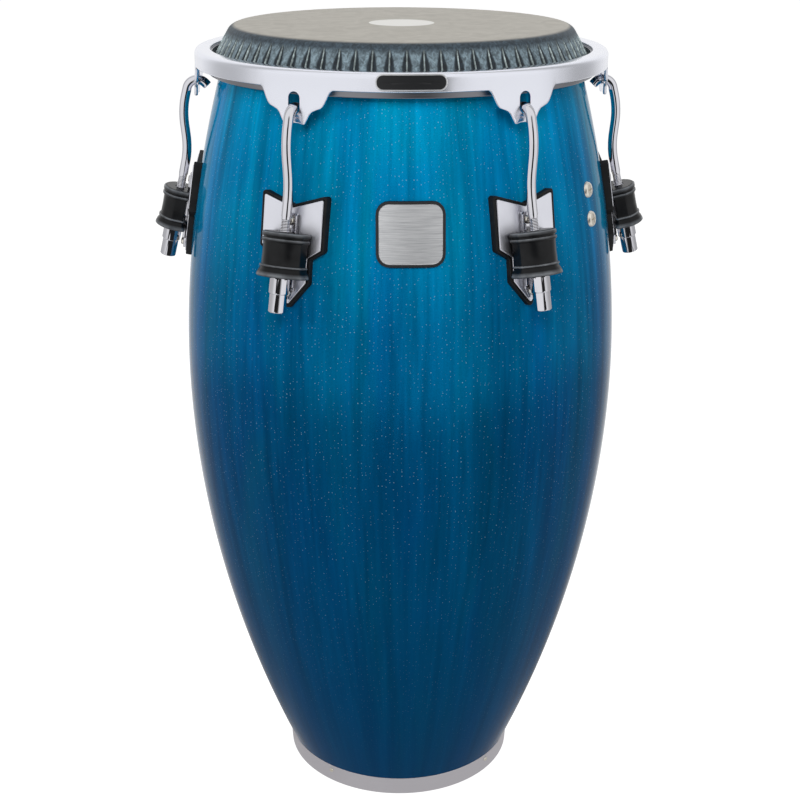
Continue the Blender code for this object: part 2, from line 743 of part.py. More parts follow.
def cover_outline(grow):
    """The cover's D-shaped outline about the rod, larger by grow: bowed front, flat back."""
    half = COVER_HALF_WIDTH + grow
    front = COVER_FRONT + grow
    bow_radius = (half**2 + COVER_CROWN**2) / (2 * COVER_CROWN)
    reach = math.asin(half / bow_radius)
    centre = (0, -(front - bow_radius))
    bow = arc(centre, bow_radius, -math.pi / 2 - reach, -math.pi / 2 + reach, 6)
    back = COVER_BACK
    sides = [(half, back - COVER_CHAMFER), (half - COVER_CHAMFER, back)]
    return bow + sides + [(-x, y) for x, y in reversed(sides)]


def cover_mesh():
    """The moulded cover: ribbed D-shaped body with a flared skirt, bored and slotted."""
    skirt_top = -(COVER_HEIGHT - COVER_SKIRT_HEIGHT)
    layers = [(0.0, -COVER_RIB)]
    for step, grow in (
        (COVER_RIB, 0),
        (COVER_BAND, 0),
        (COVER_GROOVE_BEVEL, -COVER_RIB),
        (COVER_GROOVE, -COVER_RIB),
        (COVER_GROOVE_BEVEL, 0),
        (COVER_LOWER_BAND, 0),
        (COVER_RIB, -COVER_RIB),
    ):
        layers.append((layers[-1][0] - step, grow))
    layers += [
        (skirt_top + COVER_LOWER_BAND, -COVER_RIB),
        (skirt_top, 0),
        (COVER_RIB - COVER_HEIGHT, COVER_SKIRT),
        (-COVER_HEIGHT, COVER_SKIRT - COVER_GROOVE_BEVEL),
    ]
    shape = bmesh.new()
    rings = []
    for height, grow in layers:
        outline = cover_outline(grow)
        rings.append([shape.verts.new((x, y, height)) for x, y in outline])
    shape.faces.new(rings[0])
    shape.faces.new(rings[-1])
    for upper, lower in zip(rings, rings[1:]):
        for i, corner in enumerate(upper):
            after = (i + 1) % len(upper)
            shape.faces.new((corner, upper[after], lower[after], lower[i]))
    body = mesh_from(shape, "cover")
    over = COVER_HEIGHT
    bore = rod_mesh("bore", BARREL_RADIUS + FIT_GAP, -2 * over, over, BARREL_SIDES)
    half = STRAP_HALF + COVER_SLOT_PLAY
    slot_corners = [(-half, 0), (half, 0), (half, 2 * COVER_BACK), (-half, 2 * COVER_BACK)]
    slot = prism("slot", slot_corners, -2 * over, over, "Z")
    return combine(body, [("DIFFERENCE", bore), ("DIFFERENCE", slot)])


def nut_mesh():
    """The deep tension nut: wide hex collar over a longer, narrower hex."""
    top = -(COVER_HEIGHT + FIT_GAP)
    middle = top - NUT_COLLAR_HEIGHT
    foot = middle - NUT_HEIGHT
    across = 2 * math.cos(math.pi / 6)
    base = rod_mesh("collar", NUT_COLLAR_ACROSS / across, middle, top, 6)
    overlap = NUT_COLLAR_HEIGHT / 2
    lower = rod_mesh("hex", NUT_ACROSS / across, foot, middle + overlap, 6)
    bore = rod_mesh("bore", BORE_RADIUS, foot - overlap, top + overlap, BORE_SIDES)
    return combine(base, [("UNION", lower), ("DIFFERENCE", bore)])


def fastener_mesh(head, shank, nut, face, inside):
    """A pan-head screw along -Y with its flanged nut. head and nut are (radius, height)."""
    end = inside - nut[1] * (1 + THREAD_END_SHARE)
    profile = [
        (0, end),
        (shank, end),
        (shank, inside - nut[1]),
        (nut[0] * NUT_TOP_SHARE, inside - nut[1]),
        (nut[0], inside),
        (shank, inside),
        (shank, face),
        (head[0], face),
        (head[0], face + head[1] / 2),
        (head[0] * HEAD_CROWN_SHARE, face + head[1]),
        (0, face + head[1]),
    ]
    made = turned("screw", profile, FASTENER_SIDES)
    made.transform(Matrix.Rotation(math.pi / 2, 4, "X"))
    return made


def inside_facet(height):
    """The shell's inside at a height, on its straight facets: radius and slope."""
    heights = inside_heights()
    for low, high in zip(heights, heights[1:]):
        if low <= height <= high:
            fall = shell_radius(low) - shell_radius(high)
            share = (height - low) / (high - low)
            radius = shell_radius(low) - share * fall - SHELL_WALL
            return radius, math.atan2(fall, high - low)
    raise ValueError("a fastener lies outside the barrel")


def inner_seat(frame, rise, spread):
    """Where a nut of radius spread touches the inside of the shell, along its screw."""
    place = frame @ Vector((0, 0, rise))
    outward = (frame.to_3x3() @ Vector((0, -1, 0))).normalized()
    tilt = math.asin(outward.z)
    reach = math.hypot(place.x, place.y)
    depth = -SHELL_WALL
    for _ in range(4):
        radius, slope = inside_facet(place.z + depth * math.sin(tilt))
        depth = (radius - reach) / math.cos(tilt)
    ridge = math.pi / SHELL_SEGMENTS
    round_loss = radius * (1 - math.cos(ridge)) + spread**2 / (2 * radius)
    return depth - round_loss - spread * math.tan(abs(slope - tilt)) - FIT_GAP


def make_badge(enamel):
    """The badge: a plain rounded plate bent round the front of the shell."""
    half_width = BADGE_WIDTH / 2
    half_height = BADGE_HEIGHT / 2
    corners = [
        (-half_width, -half_height),
        (half_width, -half_height),
        (half_width, half_height),
        (-half_width, half_height),
    ]
    middle = DRUM_HEIGHT - BADGE_DROP
    outline = [(x, middle + y) for x, y in rounded_outline(corners, BADGE_CORNER, 4)]
    base = prism("badge", outline, 0, 2 * BELLY_RADIUS)
    steps = [
        ("INTERSECT", barrel_plug(FIT_GAP + BADGE_THICKNESS)),
        ("DIFFERENCE", barrel_plug(FIT_GAP)),
    ]
    mesh = combine(base, steps)
    make_object("badge", dress(mesh, "badge", enamel))


def make_foot(steel, rubber):
    """The steel band round the foot and the rubber ring that the drum stands on."""
    inner_top = BAND_TOP_RADIUS - BAND_THICKNESS
    inner_foot = BAND_FOOT_RADIUS - BAND_THICKNESS
    band = [
        (BAND_FOOT_RADIUS, BAND_CLEARANCE),
        (BAND_TOP_RADIUS, BAND_TOP),
        (inner_top, BAND_TOP),
        (inner_foot, BAND_CLEARANCE),
    ]
    mesh = turned("base_band", band, SHELL_SEGMENTS)
    make_object("base_band", dress(mesh, "base_band", steel))
    outer = inner_foot - FIT_GAP
    ring = [
        (outer - FOOT_RING_WIDTH, 0),
        (outer, 0),
        (outer, FOOT_RING_HEIGHT),
        (outer - FOOT_RING_WIDTH, FOOT_RING_HEIGHT),
    ]
    mesh = turned("foot_ring", ring, SHELL_SEGMENTS)
    make_object("foot_ring", dress(mesh, "foot_ring", rubber))


def make_lugs(seat, line, looks):
    """Six sets of gasket, plate, bracket, cover, bolts, rod and nut round the shell."""
    bolt_face = seat.strap_face + FIT_GAP
    seat_meshes = {
        "plate_gasket": dress(gasket_mesh(seat), "plate_gasket", looks["rubber"]),
        "side_plate": dress(plate_mesh(seat), "side_plate", looks["chrome"]),
        "lug_bracket": dress(bracket_mesh(seat, line), "lug_bracket", looks["steel"]),
    }
    for label, rise in (("plate_bolt_upper", BOLT_UPPER), ("plate_bolt_lower", BOLT_LOWER)):
        mesh = fastener_mesh(
            (BOLT_HEAD_RADIUS, BOLT_HEAD_HEIGHT),
            BOLT_RADIUS,
            (BOLT_NUT_RADIUS, BOLT_NUT_HEIGHT),
            bolt_face,
            inner_seat(seat.frame(), rise, BOLT_NUT_RADIUS),
        )
        mesh.transform(Matrix.Translation((0, 0, rise)))
        seat_meshes[label] = dress(mesh, label, looks["steel"])
    rod_meshes = {
        "lug_cover": dress(cover_mesh(), "lug_cover", looks["plastic"]),
        "tension_nut": dress(nut_mesh(), "tension_nut", looks["chrome"]),
        "tension_rod": rod_curve(line, looks["chrome"]),
    }
    for place, azimuth in LUG_PLACES.items():
        for kind, frame, parts in (
            ("plate_seat", seat.frame(azimuth), seat_meshes),
            ("rod_axis", line.frame(azimuth), rod_meshes),
        ):
            holder = make_object(f"{kind}_{place}", None)
            holder.matrix_world = frame
            for name, data in parts.items():
                made = make_object(f"{name}_{place}", data)
                made.parent = holder


def rod_curve(line, chrome):
    """A hook rod as a round curve through its centreline."""
    curve = bpy.data.curves.new("tension_rod", "CURVE")
    curve.dimensions = "3D"
    spline = curve.splines.new("POLY")
    points = rod_points(line)
    spline.points.add(len(points) - 1)
    for target, (y, z) in zip(spline.points, points):
        target.co = (0, y, z, 1)
    curve.bevel_depth = ROD_RADIUS
    curve.bevel_resolution = (ROD_SIDES - 4) // 2  # the setting's own count of sides
    curve.use_fill_caps = True
    spline.use_smooth = True
    curve.materials.append(chrome)
    return curve


def make_screws(steel):
    """The two large screws in the right front of the shell, each with a washer and a nut."""
    for label, drop in SCREW_DROPS.items():
        frame = screw_frame(drop)
        mesh = fastener_mesh(
            (SCREW_HEAD_RADIUS, SCREW_HEAD_HEIGHT),
            SCREW_RADIUS,
            (SCREW_NUT_RADIUS, SCREW_NUT_HEIGHT),
            2 * FIT_GAP,
            inner_seat(frame, 0, SCREW_NUT_RADIUS),
        )
        made = make_object(f"shell_screw_{label}", dress(mesh, f"shell_screw_{label}", steel))
        made.matrix_world = frame


def main():
    for old in list(bpy.data.objects):
        bpy.data.objects.remove(old)
    wood = finish("lacquered wood", (0.0, 0.13, 0.33), 0.25, 0.0)
    looks = {
        "chrome": finish("chromed steel", (0.75, 0.75, 0.80), 0.12, 1.0),
        "steel": finish("zinc-plated steel", (0.60, 0.58, 0.54), 0.30, 1.0),
        "rubber": finish("black rubber", (0.02, 0.02, 0.02), 0.60, 0.0),
        "plastic": finish("black moulded nylon", (0.015, 0.015, 0.017), 0.35, 0.0),
    }
    seat = PlateSeat()
    line = RodLine(seat)
    make_shell(seat, wood)
    make_head(finish("synthetic skin", (0.09, 0.085, 0.08), 0.65, 0.0))
    make_hoop(finish("galvanised steel", (0.45, 0.46, 0.48), 0.35, 1.0))
    make_rim(looks["chrome"])
    make_lugs(seat, line, looks)
    make_screws(looks["steel"])
    make_badge(finish("enamelled metal", (0.35, 0.35, 0.36), 0.35, 0.8))
    make_foot(
        finish("brushed steel", (0.55, 0.56, 0.58), 0.35, 1.0),
        looks["rubber"],
    )


main()
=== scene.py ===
import math

import bpy
import numpy as np
from mathutils import Matrix, Vector


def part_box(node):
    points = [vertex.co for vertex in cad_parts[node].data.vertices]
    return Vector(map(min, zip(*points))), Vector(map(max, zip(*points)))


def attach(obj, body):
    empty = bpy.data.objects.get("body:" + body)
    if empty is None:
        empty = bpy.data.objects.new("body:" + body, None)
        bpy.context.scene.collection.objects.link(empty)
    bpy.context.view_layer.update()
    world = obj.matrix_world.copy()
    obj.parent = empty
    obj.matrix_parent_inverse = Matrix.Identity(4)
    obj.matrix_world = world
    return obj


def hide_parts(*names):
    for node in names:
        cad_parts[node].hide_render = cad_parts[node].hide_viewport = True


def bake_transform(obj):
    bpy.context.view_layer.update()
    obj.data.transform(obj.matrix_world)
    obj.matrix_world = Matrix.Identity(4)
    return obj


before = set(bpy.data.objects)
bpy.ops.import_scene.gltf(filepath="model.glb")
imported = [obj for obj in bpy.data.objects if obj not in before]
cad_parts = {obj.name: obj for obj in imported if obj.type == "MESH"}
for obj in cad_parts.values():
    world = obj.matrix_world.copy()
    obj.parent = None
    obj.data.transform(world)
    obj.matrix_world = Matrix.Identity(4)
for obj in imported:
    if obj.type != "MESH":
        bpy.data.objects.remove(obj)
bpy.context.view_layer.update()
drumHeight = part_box("drumhead")[1][2]
tau = 2 * math.pi

lugPlaces = {
    "front_left": -30,
    "left": -90,
    "rear_left": -150,
    "rear_right": 150,
    "right": 90,
    "front_right": 30,
}


# Shader helpers


def toLinear(hexColour):
    # sRGB hex to the linear colour that a shader takes
    values = [int(hexColour[i : i + 2], 16) / 255 for i in (1, 3, 5)]
    return tuple(v / 12.92 if v <= 0.04045 else ((v + 0.055) / 1.055) ** 2.4 for v in values) + (1.0,)


def grey(level):
    return (level, level, level, 1.0)


def addNode(tree, kind, inputs=None, **settings):
    # one node with its settings; an input is a value, or a socket to link from
    node = tree.nodes.new(kind)
    for key, value in settings.items():
        setattr(node, key, value)
    for key, value in (inputs or {}).items():
        if isinstance(value, bpy.types.NodeSocket):
            tree.links.new(value, node.inputs[key])
        else:
            node.inputs[key].default_value = value
    return node


def startMaterial(name, **values):
    # a material whose shader starts from the given values, underscores standing for spaces
    made = bpy.data.materials.new(name)
    made.use_nodes = True
    shader = made.node_tree.nodes["Principled BSDF"]
    for key, value in values.items():
        shader.inputs[key.replace("_", " ")].default_value = value
    return made, made.node_tree, shader


def feed(shader, name, socket):
    # links a socket into one of the shader's inputs
    shader.id_data.links.new(socket, shader.inputs[name])


def bumpInto(tree, shader, height, strength, distance):
    bump = addNode(tree, "ShaderNodeBump", {"Height": height, "Strength": strength, "Distance": distance})
    feed(shader, "Normal", bump.outputs["Normal"])


def rampFrom(tree, factor, stops):
    # a colour ramp through (place, colour) stops
    ramp = addNode(tree, "ShaderNodeValToRGB", {"Fac": factor})
    ramp.color_ramp.elements.remove(ramp.color_ramp.elements[0])
    for i, (place, colour) in enumerate(stops):
        element = ramp.color_ramp.elements[0] if i == 0 else ramp.color_ramp.elements.new(place)
        element.position = place
        element.color = colour
    return ramp.outputs["Color"]


def mixed(tree, factor, first, second, blend="MIX"):
    # two colours mixed by a factor
    inputs = {"Factor": factor, 6: first, 7: second}
    return addNode(tree, "ShaderNodeMix", inputs, data_type="RGBA", blend_type=blend).outputs[2]


def maths(tree, operation, first, second=0.0):
    # one sum on numbers or sockets
    return addNode(tree, "ShaderNodeMath", {0: first, 1: second}, operation=operation).outputs[0]


def times(tree, first, second):
    return maths(tree, "MULTIPLY", first, second)


def less(tree, first, second):
    return maths(tree, "SUBTRACT", first, second)


def spanned(tree, value, low, high, toLow, toHigh):
    # a value carried from one range to another, held at its ends
    inputs = {"Value": value, "From Min": low, "From Max": high, "To Min": toLow, "To Max": toHigh}
    return addNode(tree, "ShaderNodeMapRange", inputs).outputs["Result"]


def noiseOf(tree, vector, scale, detail, distortion=0.0):
    # noise with its own scale on each axis, from 0 to 1
    scaled = addNode(tree, "ShaderNodeMapping", {"Vector": vector, "Scale": scale})
    inputs = {"Vector": scaled.outputs[0], "Scale": 1.0, "Detail": detail, "Distortion": distortion}
    return addNode(tree, "ShaderNodeTexNoise", inputs).outputs["Fac"]


def evenly(perMetre):
    # the same scale on all three axes
    return (perMetre, perMetre, perMetre)


def objectSpace(tree):
    return addNode(tree, "ShaderNodeTexCoord").outputs["Object"]


def parted(tree, vector):
    # a vector's X, Y and Z
    return addNode(tree, "ShaderNodeSeparateXYZ", {"Vector": vector}).outputs


def azimuthOf(tree, parts):
    # the angle round the drum, from the front towards +X
    return maths(tree, "ARCTAN2", parts["X"], times(tree, parts["Y"], -1.0))


# Shape helpers: all work on whole arrays


def packed(*values):
    # numbers and arrays side by side as the coordinates of points
    return np.stack(np.broadcast_arrays(*values), axis=-1)


def roundAxis(radius, angle, height):
    # points round the drum's axis by azimuth in radians
    return packed(radius * np.sin(angle), -radius * np.cos(angle), height)


def unit(vectors):
    # vectors scaled to length 1
    return vectors / np.linalg.norm(vectors, axis=-1, keepdims=True)


def evenAngles(count):
    return np.arange(count) * tau / count


def arcPoints(centre, radius, start, end, count):
    # circle in a plane: centre + radius * (cos, sin), angles in degrees
    angle = np.radians(np.linspace(start, end, count))
    return packed(centre[0] + radius * np.cos(angle), centre[1] + radius * np.sin(angle))


def joined(*runs):
    # runs of profile points one after the other
    return np.concatenate([np.atleast_2d(np.asarray(run, float)) for run in runs])


def resampled(points, spacing):
    # points at an even spacing along a polyline, its own corners kept
    out = [points[:1]]
    for a, b in zip(points[:-1], points[1:]):
        steps = max(1, int(math.ceil(np.linalg.norm(b - a) / spacing)))
        out.append(a + (b - a) * (np.arange(1, steps + 1) / steps)[:, None])
    return np.concatenate(out)


def gridFaces(rows, cols, wrapRows):
    # quads between neighbouring rows and columns of a grid numbered row by row, its columns closed to a ring
    row = np.arange(rows if wrapRows else rows - 1)[:, None] * cols
    nextRow = (row + cols) % (rows * cols)
    col = np.arange(cols)[None, :]
    nextCol = (col + 1) % cols
    return packed(row + col, row + nextCol, nextRow + nextCol, nextRow + col).reshape(-1, 4)


def gridShape(points, wrapRows=False, caps=False):
    # a grid of points as (vertices, faces); caps close the first and last row with a fan
    rows, cols = points.shape[:2]
    vertices = points.reshape(-1, 3)
    faces = gridFaces(rows, cols, wrapRows).tolist()
    if caps:
        first, last = len(vertices), (rows - 1) * cols
        vertices = np.concatenate([vertices, [points[0].mean(axis=0), points[-1].mean(axis=0)]])
        around = np.arange(cols)
        onward = (around + 1) % cols
        faces += packed(onward, around, first).tolist()
        faces += packed(last + around, last + onward, first + 1).tolist()
    return vertices, faces


def together(shapes):
    # several (vertices, faces) as one
    vertices, faces, start = [], [], 0
    for points, quads in shapes:
        vertices.append(points)
        faces += [[corner + start for corner in face] for face in quads]
        start += len(points)
    return np.concatenate(vertices), faces


def facesOut(points, faces):
    # turns a closed shape the right way: the sum of its signed cones has to be positive
    a, b, c = (points[[face[k] for face in faces]] for k in (0, 1, 2))
    d = points[[face[-1] for face in faces]]
    volume = np.einsum("ij,ij->i", a, np.cross(b, c) + np.cross(c, d)).sum()
    return points, faces if volume > 0 else [face[::-1] for face in faces]


def meshFrom(name, shapes):
    # one mesh from closed shapes, their faces turned out
    points, faces = together([facesOut(*shape) for shape in shapes])
    mesh = bpy.data.meshes.new(name)
    mesh.from_pydata(points.tolist(), [], faces)
    return mesh


def addObject(name, data):
    made = bpy.data.objects.new(name, data)
    bpy.context.scene.collection.objects.link(made)
    return made


def addPiece(name, shapes, look, crease=40, body="shell", inCad=True):
    # one object from closed shapes, with its finish, material slot, crease angle in degrees and the body that
    # it rides on; it stands for the CAD node of its own name: plateBolt_upper_left for plate_bolt_upper_left
    mesh = meshFrom(name, shapes)
    mesh.materials.append(looks[look])
    mesh.shade_smooth()
    mesh.set_sharp_from_angle(angle=math.radians(crease))
    piece = addObject(name, mesh)
    if body:
        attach(piece, body)
    if inCad:
        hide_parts("".join("_" + letter.lower() if letter.isupper() else letter for letter in name))
    return piece


def setAttribute(piece, name, values):
    # a number for each vertex, for the shader to read
    piece.data.attributes.new(name, "FLOAT", "POINT").data.foreach_set("value", values)


def turned(profile, segments):
    # a closed profile of (radius, height) carried round the drum's axis
    radius, height = profile[:, :1], profile[:, 1:]
    return gridShape(roundAxis(radius, evenAngles(segments), height), wrapRows=True)


def placed(shape, matrix):
    # a shape moved by a matrix
    points, faces = shape
    m = np.array(matrix)
    return points @ m[:3, :3].T + m[:3, 3], faces


def cornerArc(before, corner, after, radius, count):
    # the arc that rounds a corner between two straight runs: from its middle, the first radius times the
    # angle's cosine plus the same radius turned square times its sine
    back, onward = unit(before - corner), unit(after - corner)
    half = math.acos(np.clip(back @ onward, -1, 1)) / 2
    middle = corner + unit(back + onward) * radius / math.sin(half)
    first = corner + back * radius / math.tan(half) - middle
    last = corner + onward * radius / math.tan(half) - middle
    turn = math.atan2(first[0] * last[1] - first[1] * last[0], first @ last)
    angle = np.linspace(0, turn, count)[:, None]
    return middle + first * np.cos(angle) + np.array([-first[1], first[0]]) * np.sin(angle)


def outlineFrom(corners, radius, steps=6):
    # an outline of (x, y) corners, each rounded by an arc
    here = np.asarray(corners, float)
    before, after = np.roll(here, 1, axis=0), np.roll(here, -1, axis=0)
    runs = zip(before, here, after, np.broadcast_to(radius, len(here)))
    return np.concatenate([cornerArc(*run, steps) for run in runs])


def outlineNormals(outline):
    # unit normals pointing out of an anticlockwise outline, by central differences
    along = unit(np.roll(outline, -1, axis=0) - np.roll(outline, 1, axis=0))
    return packed(along[:, 1], -along[:, 0])


def insetCorners(corners, inset):
    # corners of an anticlockwise outline, every side moved in by the same distance
    corners = np.asarray(corners, float)
    along = unit(np.roll(corners, -1, axis=0) - corners)
    inward = packed(-along[:, 1], along[:, 0])
    moved = [np.linalg.solve(inward[[i - 1, i]], [inset, inset]) for i in range(len(corners))]
    return corners + np.array(moved)


def ringPoints(corners, inset, radius, counts):
    # the rounded outline at an inset, always with the same number of points: a corner that points out is
    # rounded less as the outline shrinks and one that points in is rounded more
    corners = np.asarray(corners, float)
    before = corners - np.roll(corners, 1, axis=0)
    after = np.roll(corners, -1, axis=0) - corners
    pointsOut = before[:, 0] * after[:, 1] - before[:, 1] * after[:, 0] > 0
    sharpest = 0.0004
    radii = np.where(pointsOut, np.maximum(radius - inset, sharpest), radius + inset)
    arcs = outlineFrom(insetCorners(corners, inset), radii).reshape(len(corners), -1, 2)
    runs = []
    for arc, nextArc, count in zip(arcs, np.roll(arcs, -1, axis=0), counts):
        share = np.arange(1, count + 1)[:, None] / (count + 1)
        runs += [arc, arc[-1] + (nextArc[0] - arc[-1]) * share]
    return np.concatenate(runs)


def slab(corners, radius, profile, spacing=0.002):
    # a rounded outline in X and Z carried through (inset, depth) steps; depth goes out along -Y
    sides = np.linalg.norm(np.roll(corners, -1, axis=0) - np.asarray(corners, float), axis=1)
    counts = np.maximum(1, np.ceil(sides / spacing)).astype(int)
    rows = []
    for inset, depth in profile:
        flat = ringPoints(corners, inset, radius, counts)
        rows.append(packed(flat[:, 0], -depth(flat) if callable(depth) else -depth, flat[:, 1]))
    return gridShape(np.array(rows), caps=True)


def softEdge(thickness, radius, base=0.0, count=4):
    # (inset, depth) steps of a slab with rounded front edge, from its back to its front
    angle = np.linspace(0, math.pi / 2, count)
    top = base + thickness
    front = [(radius - radius * math.cos(a), top - radius + radius * math.sin(a)) for a in angle]
    return [(0.0, base)] + front + [(radius + 0.0003, top), (radius + 0.0006, top)]


def mirroredCorners(half):
    # a whole anticlockwise outline from its right half, listed from the bottom up
    return half + [(-x, y) for x, y in reversed(half) if x > 0]


# The drum's own lines, as in the solid model

shellShape = {
    "bellyRadius": 0.2086,
    "bellyHeight": 0.4399,
    "shoulderRadius": 0.1689,
    "shoulderHeight": 0.715,
    "shoulderCurve": 1.93,
    "footRadius": 0.118,
    "footHeight": 0.0198,
    "footCurve": 1.94,
    "neckHeight": 0.701,
    "wall": 0.012,
    "edgeRadius": 0.1532,
    "edgeHeight": 0.7544,
    "edgeRound": 0.0055,
    "edgeFlat": 0.002,
    "chamfer": (0.1467, 0.7549),
}
footShape = {
    "ringInner": 0.1060,
    "ringOuter": 0.1155,
    "ringHeight": 0.004,
    "rebate": 0.0045,
    "bandTop": 0.0195,
    "bandFoot": 0.0005,
    "topRadius": 0.1182,
    "footRadius": 0.1170,
    "wall": 0.0012,
    "edge": 0.0004,
}


def shellRadius(height):
    # belly radius less a power of the distance from the belly, a different power above and below it
    s = shellShape
    height = np.asarray(height, float)
    up = np.clip((height - s["bellyHeight"]) / (s["shoulderHeight"] - s["bellyHeight"]), 0, None)
    down = np.clip((s["bellyHeight"] - height) / (s["bellyHeight"] - s["footHeight"]), 0, None)
    fall = (s["bellyRadius"] - s["shoulderRadius"]) * up ** s["shoulderCurve"]
    fall = fall + (s["bellyRadius"] - s["footRadius"]) * down ** s["footCurve"]
    return s["bellyRadius"] - fall


def shellSlope(height):
    step = 0.0005
    return math.atan2(float(shellRadius(height - step) - shellRadius(height + step)), 2 * step)


def seatMatrix(radius, height, tilt, azimuth):
    # local -Y points out of the drum and Z up, leaning in by the tilt
    turn = Matrix.Rotation(math.radians(azimuth), 4, "Z")
    return turn @ Matrix.Translation((0, -radius, height)) @ Matrix.Rotation(-tilt, 4, "X")


plateSeat = {"height": 0.594, "gap": 0.0003, "gasket": 0.0028, "plate": 0.002, "strap": 0.002}
rodLine = {"lean": math.radians(4.17), "standoff": 0.0164, "rise": 0.0143}


def finishSeats():
    # the plates lie square on the shell; the rods' axis stands off them by standoff and rise, and leans more
    seat, rod = plateSeat, rodLine
    seat["radius"] = float(shellRadius(seat["height"]))
    seat["tilt"] = shellSlope(seat["height"])
    cosTilt, sinTilt = math.cos(seat["tilt"]), math.sin(seat["tilt"])
    rod["tilt"] = seat["tilt"] + rod["lean"]
    rod["radius"] = seat["radius"] + rod["standoff"] * cosTilt - rod["rise"] * sinTilt
    rod["height"] = seat["height"] + rod["standoff"] * sinTilt + rod["rise"] * cosTilt
    # the layers from the seat outwards, each with its gap: gasket, plate, strap of the bracket
    seat["plateBack"] = seat["gasket"] + 2 * seat["gap"]
    seat["strapBack"] = seat["plateBack"] + seat["gap"] + seat["plate"]
    seat["strapFace"] = seat["strapBack"] + seat["gap"] + seat["strap"]


finishSeats()


def seatFrame(azimuth):
    return seatMatrix(plateSeat["radius"], plateSeat["height"], plateSeat["tilt"], azimuth)


def rodFrame(azimuth):
    return seatMatrix(rodLine["radius"], rodLine["height"], rodLine["tilt"], azimuth)


headShape = {
    "pleats": 72,
    "columns": 18,  # points across one pleat
    "phase": math.radians(-0.9),
    "foldRound": 0.0105,
    "pleatDepth": 0.0016,
    "crest": 0.0006,
    "hollow": 0.33,  # half width of a hollow at its widest, as a share of a pleat
    "foldStart": 0.02,  # where pleats start and hollows are full, as shares of the way down
    "foldFull": 0.75,
    "collarTop": 0.7573,
    "collarFoot": 0.7400,
    "thickness": 0.0018,
    "layer": 0.0003,  # air between the bearing edge and the head
    "flare": 28,
    "foot": 0.7245,
    "nest": 0.1735,
    "middle": 0.002,
}


# Materials

stainTints = [
    (0.03, "#014772"),
    (0.21, "#014872"),
    (0.35, "#014b76"),
    (0.44, "#014b77"),
    (0.52, "#014b77"),
    (0.576, "#01517e"),
    (0.632, "#016394"),
    (0.70, "#016799"),
    (0.80, "#0185b7"),
    (0.85, "#0185b9"),
    (0.89, "#018fc4"),
    (0.94, "#019bd0"),
]
# the stain's figure in layers: width in mm, scale upwards, detail, distortion, the noise's range and the
# tones at its ends
staveFigure = {
    "band": (40, 1.6, 2.0, 0.4, (0.3, 0.7), (0.86, 1.14)),
    "streak": (22, 2.2, 3.0, 0.3, (0.50, 0.70), (1.06, 0.69)),
    "stroke": (10, 7, 4.0, 0.6, (0.38, 0.66), (1.08, 0.84)),
    "grain": (3.5, 12, 3.0, 0.0, (0.3, 0.7), (0.91, 1.07)),
}
lacquer = {
    "roughness": 0.04,
    "ior": 1.09,
    "mirrorTint": "#00527d",
    "staveMm": 54.61,
    "staveTones": (0.91, 1.09),
    "drift": (-0.03, 0.03),
    "figureHeights": (0.05, 0.50),
    "figureShare": (0.35, 1.0),
    "cloudMm": 60,
    "cloudTints": [(0.36, (1.0, 1.08, 0.95, 1.0)), (0.64, (1.0, 0.93, 1.04, 1.0))],
    "fleckMm": 3.5,
    "fleckTint": "#a9d6ea",
    "fleckPick": (0.58, 1.0),
    "fleckShare": (0.0, 0.42),
    "fleckSize": (0.07, 0.15),
    "fleckHeights": (0.06, 0.5),
    "fleckFade": (0.15, 1.0),
}


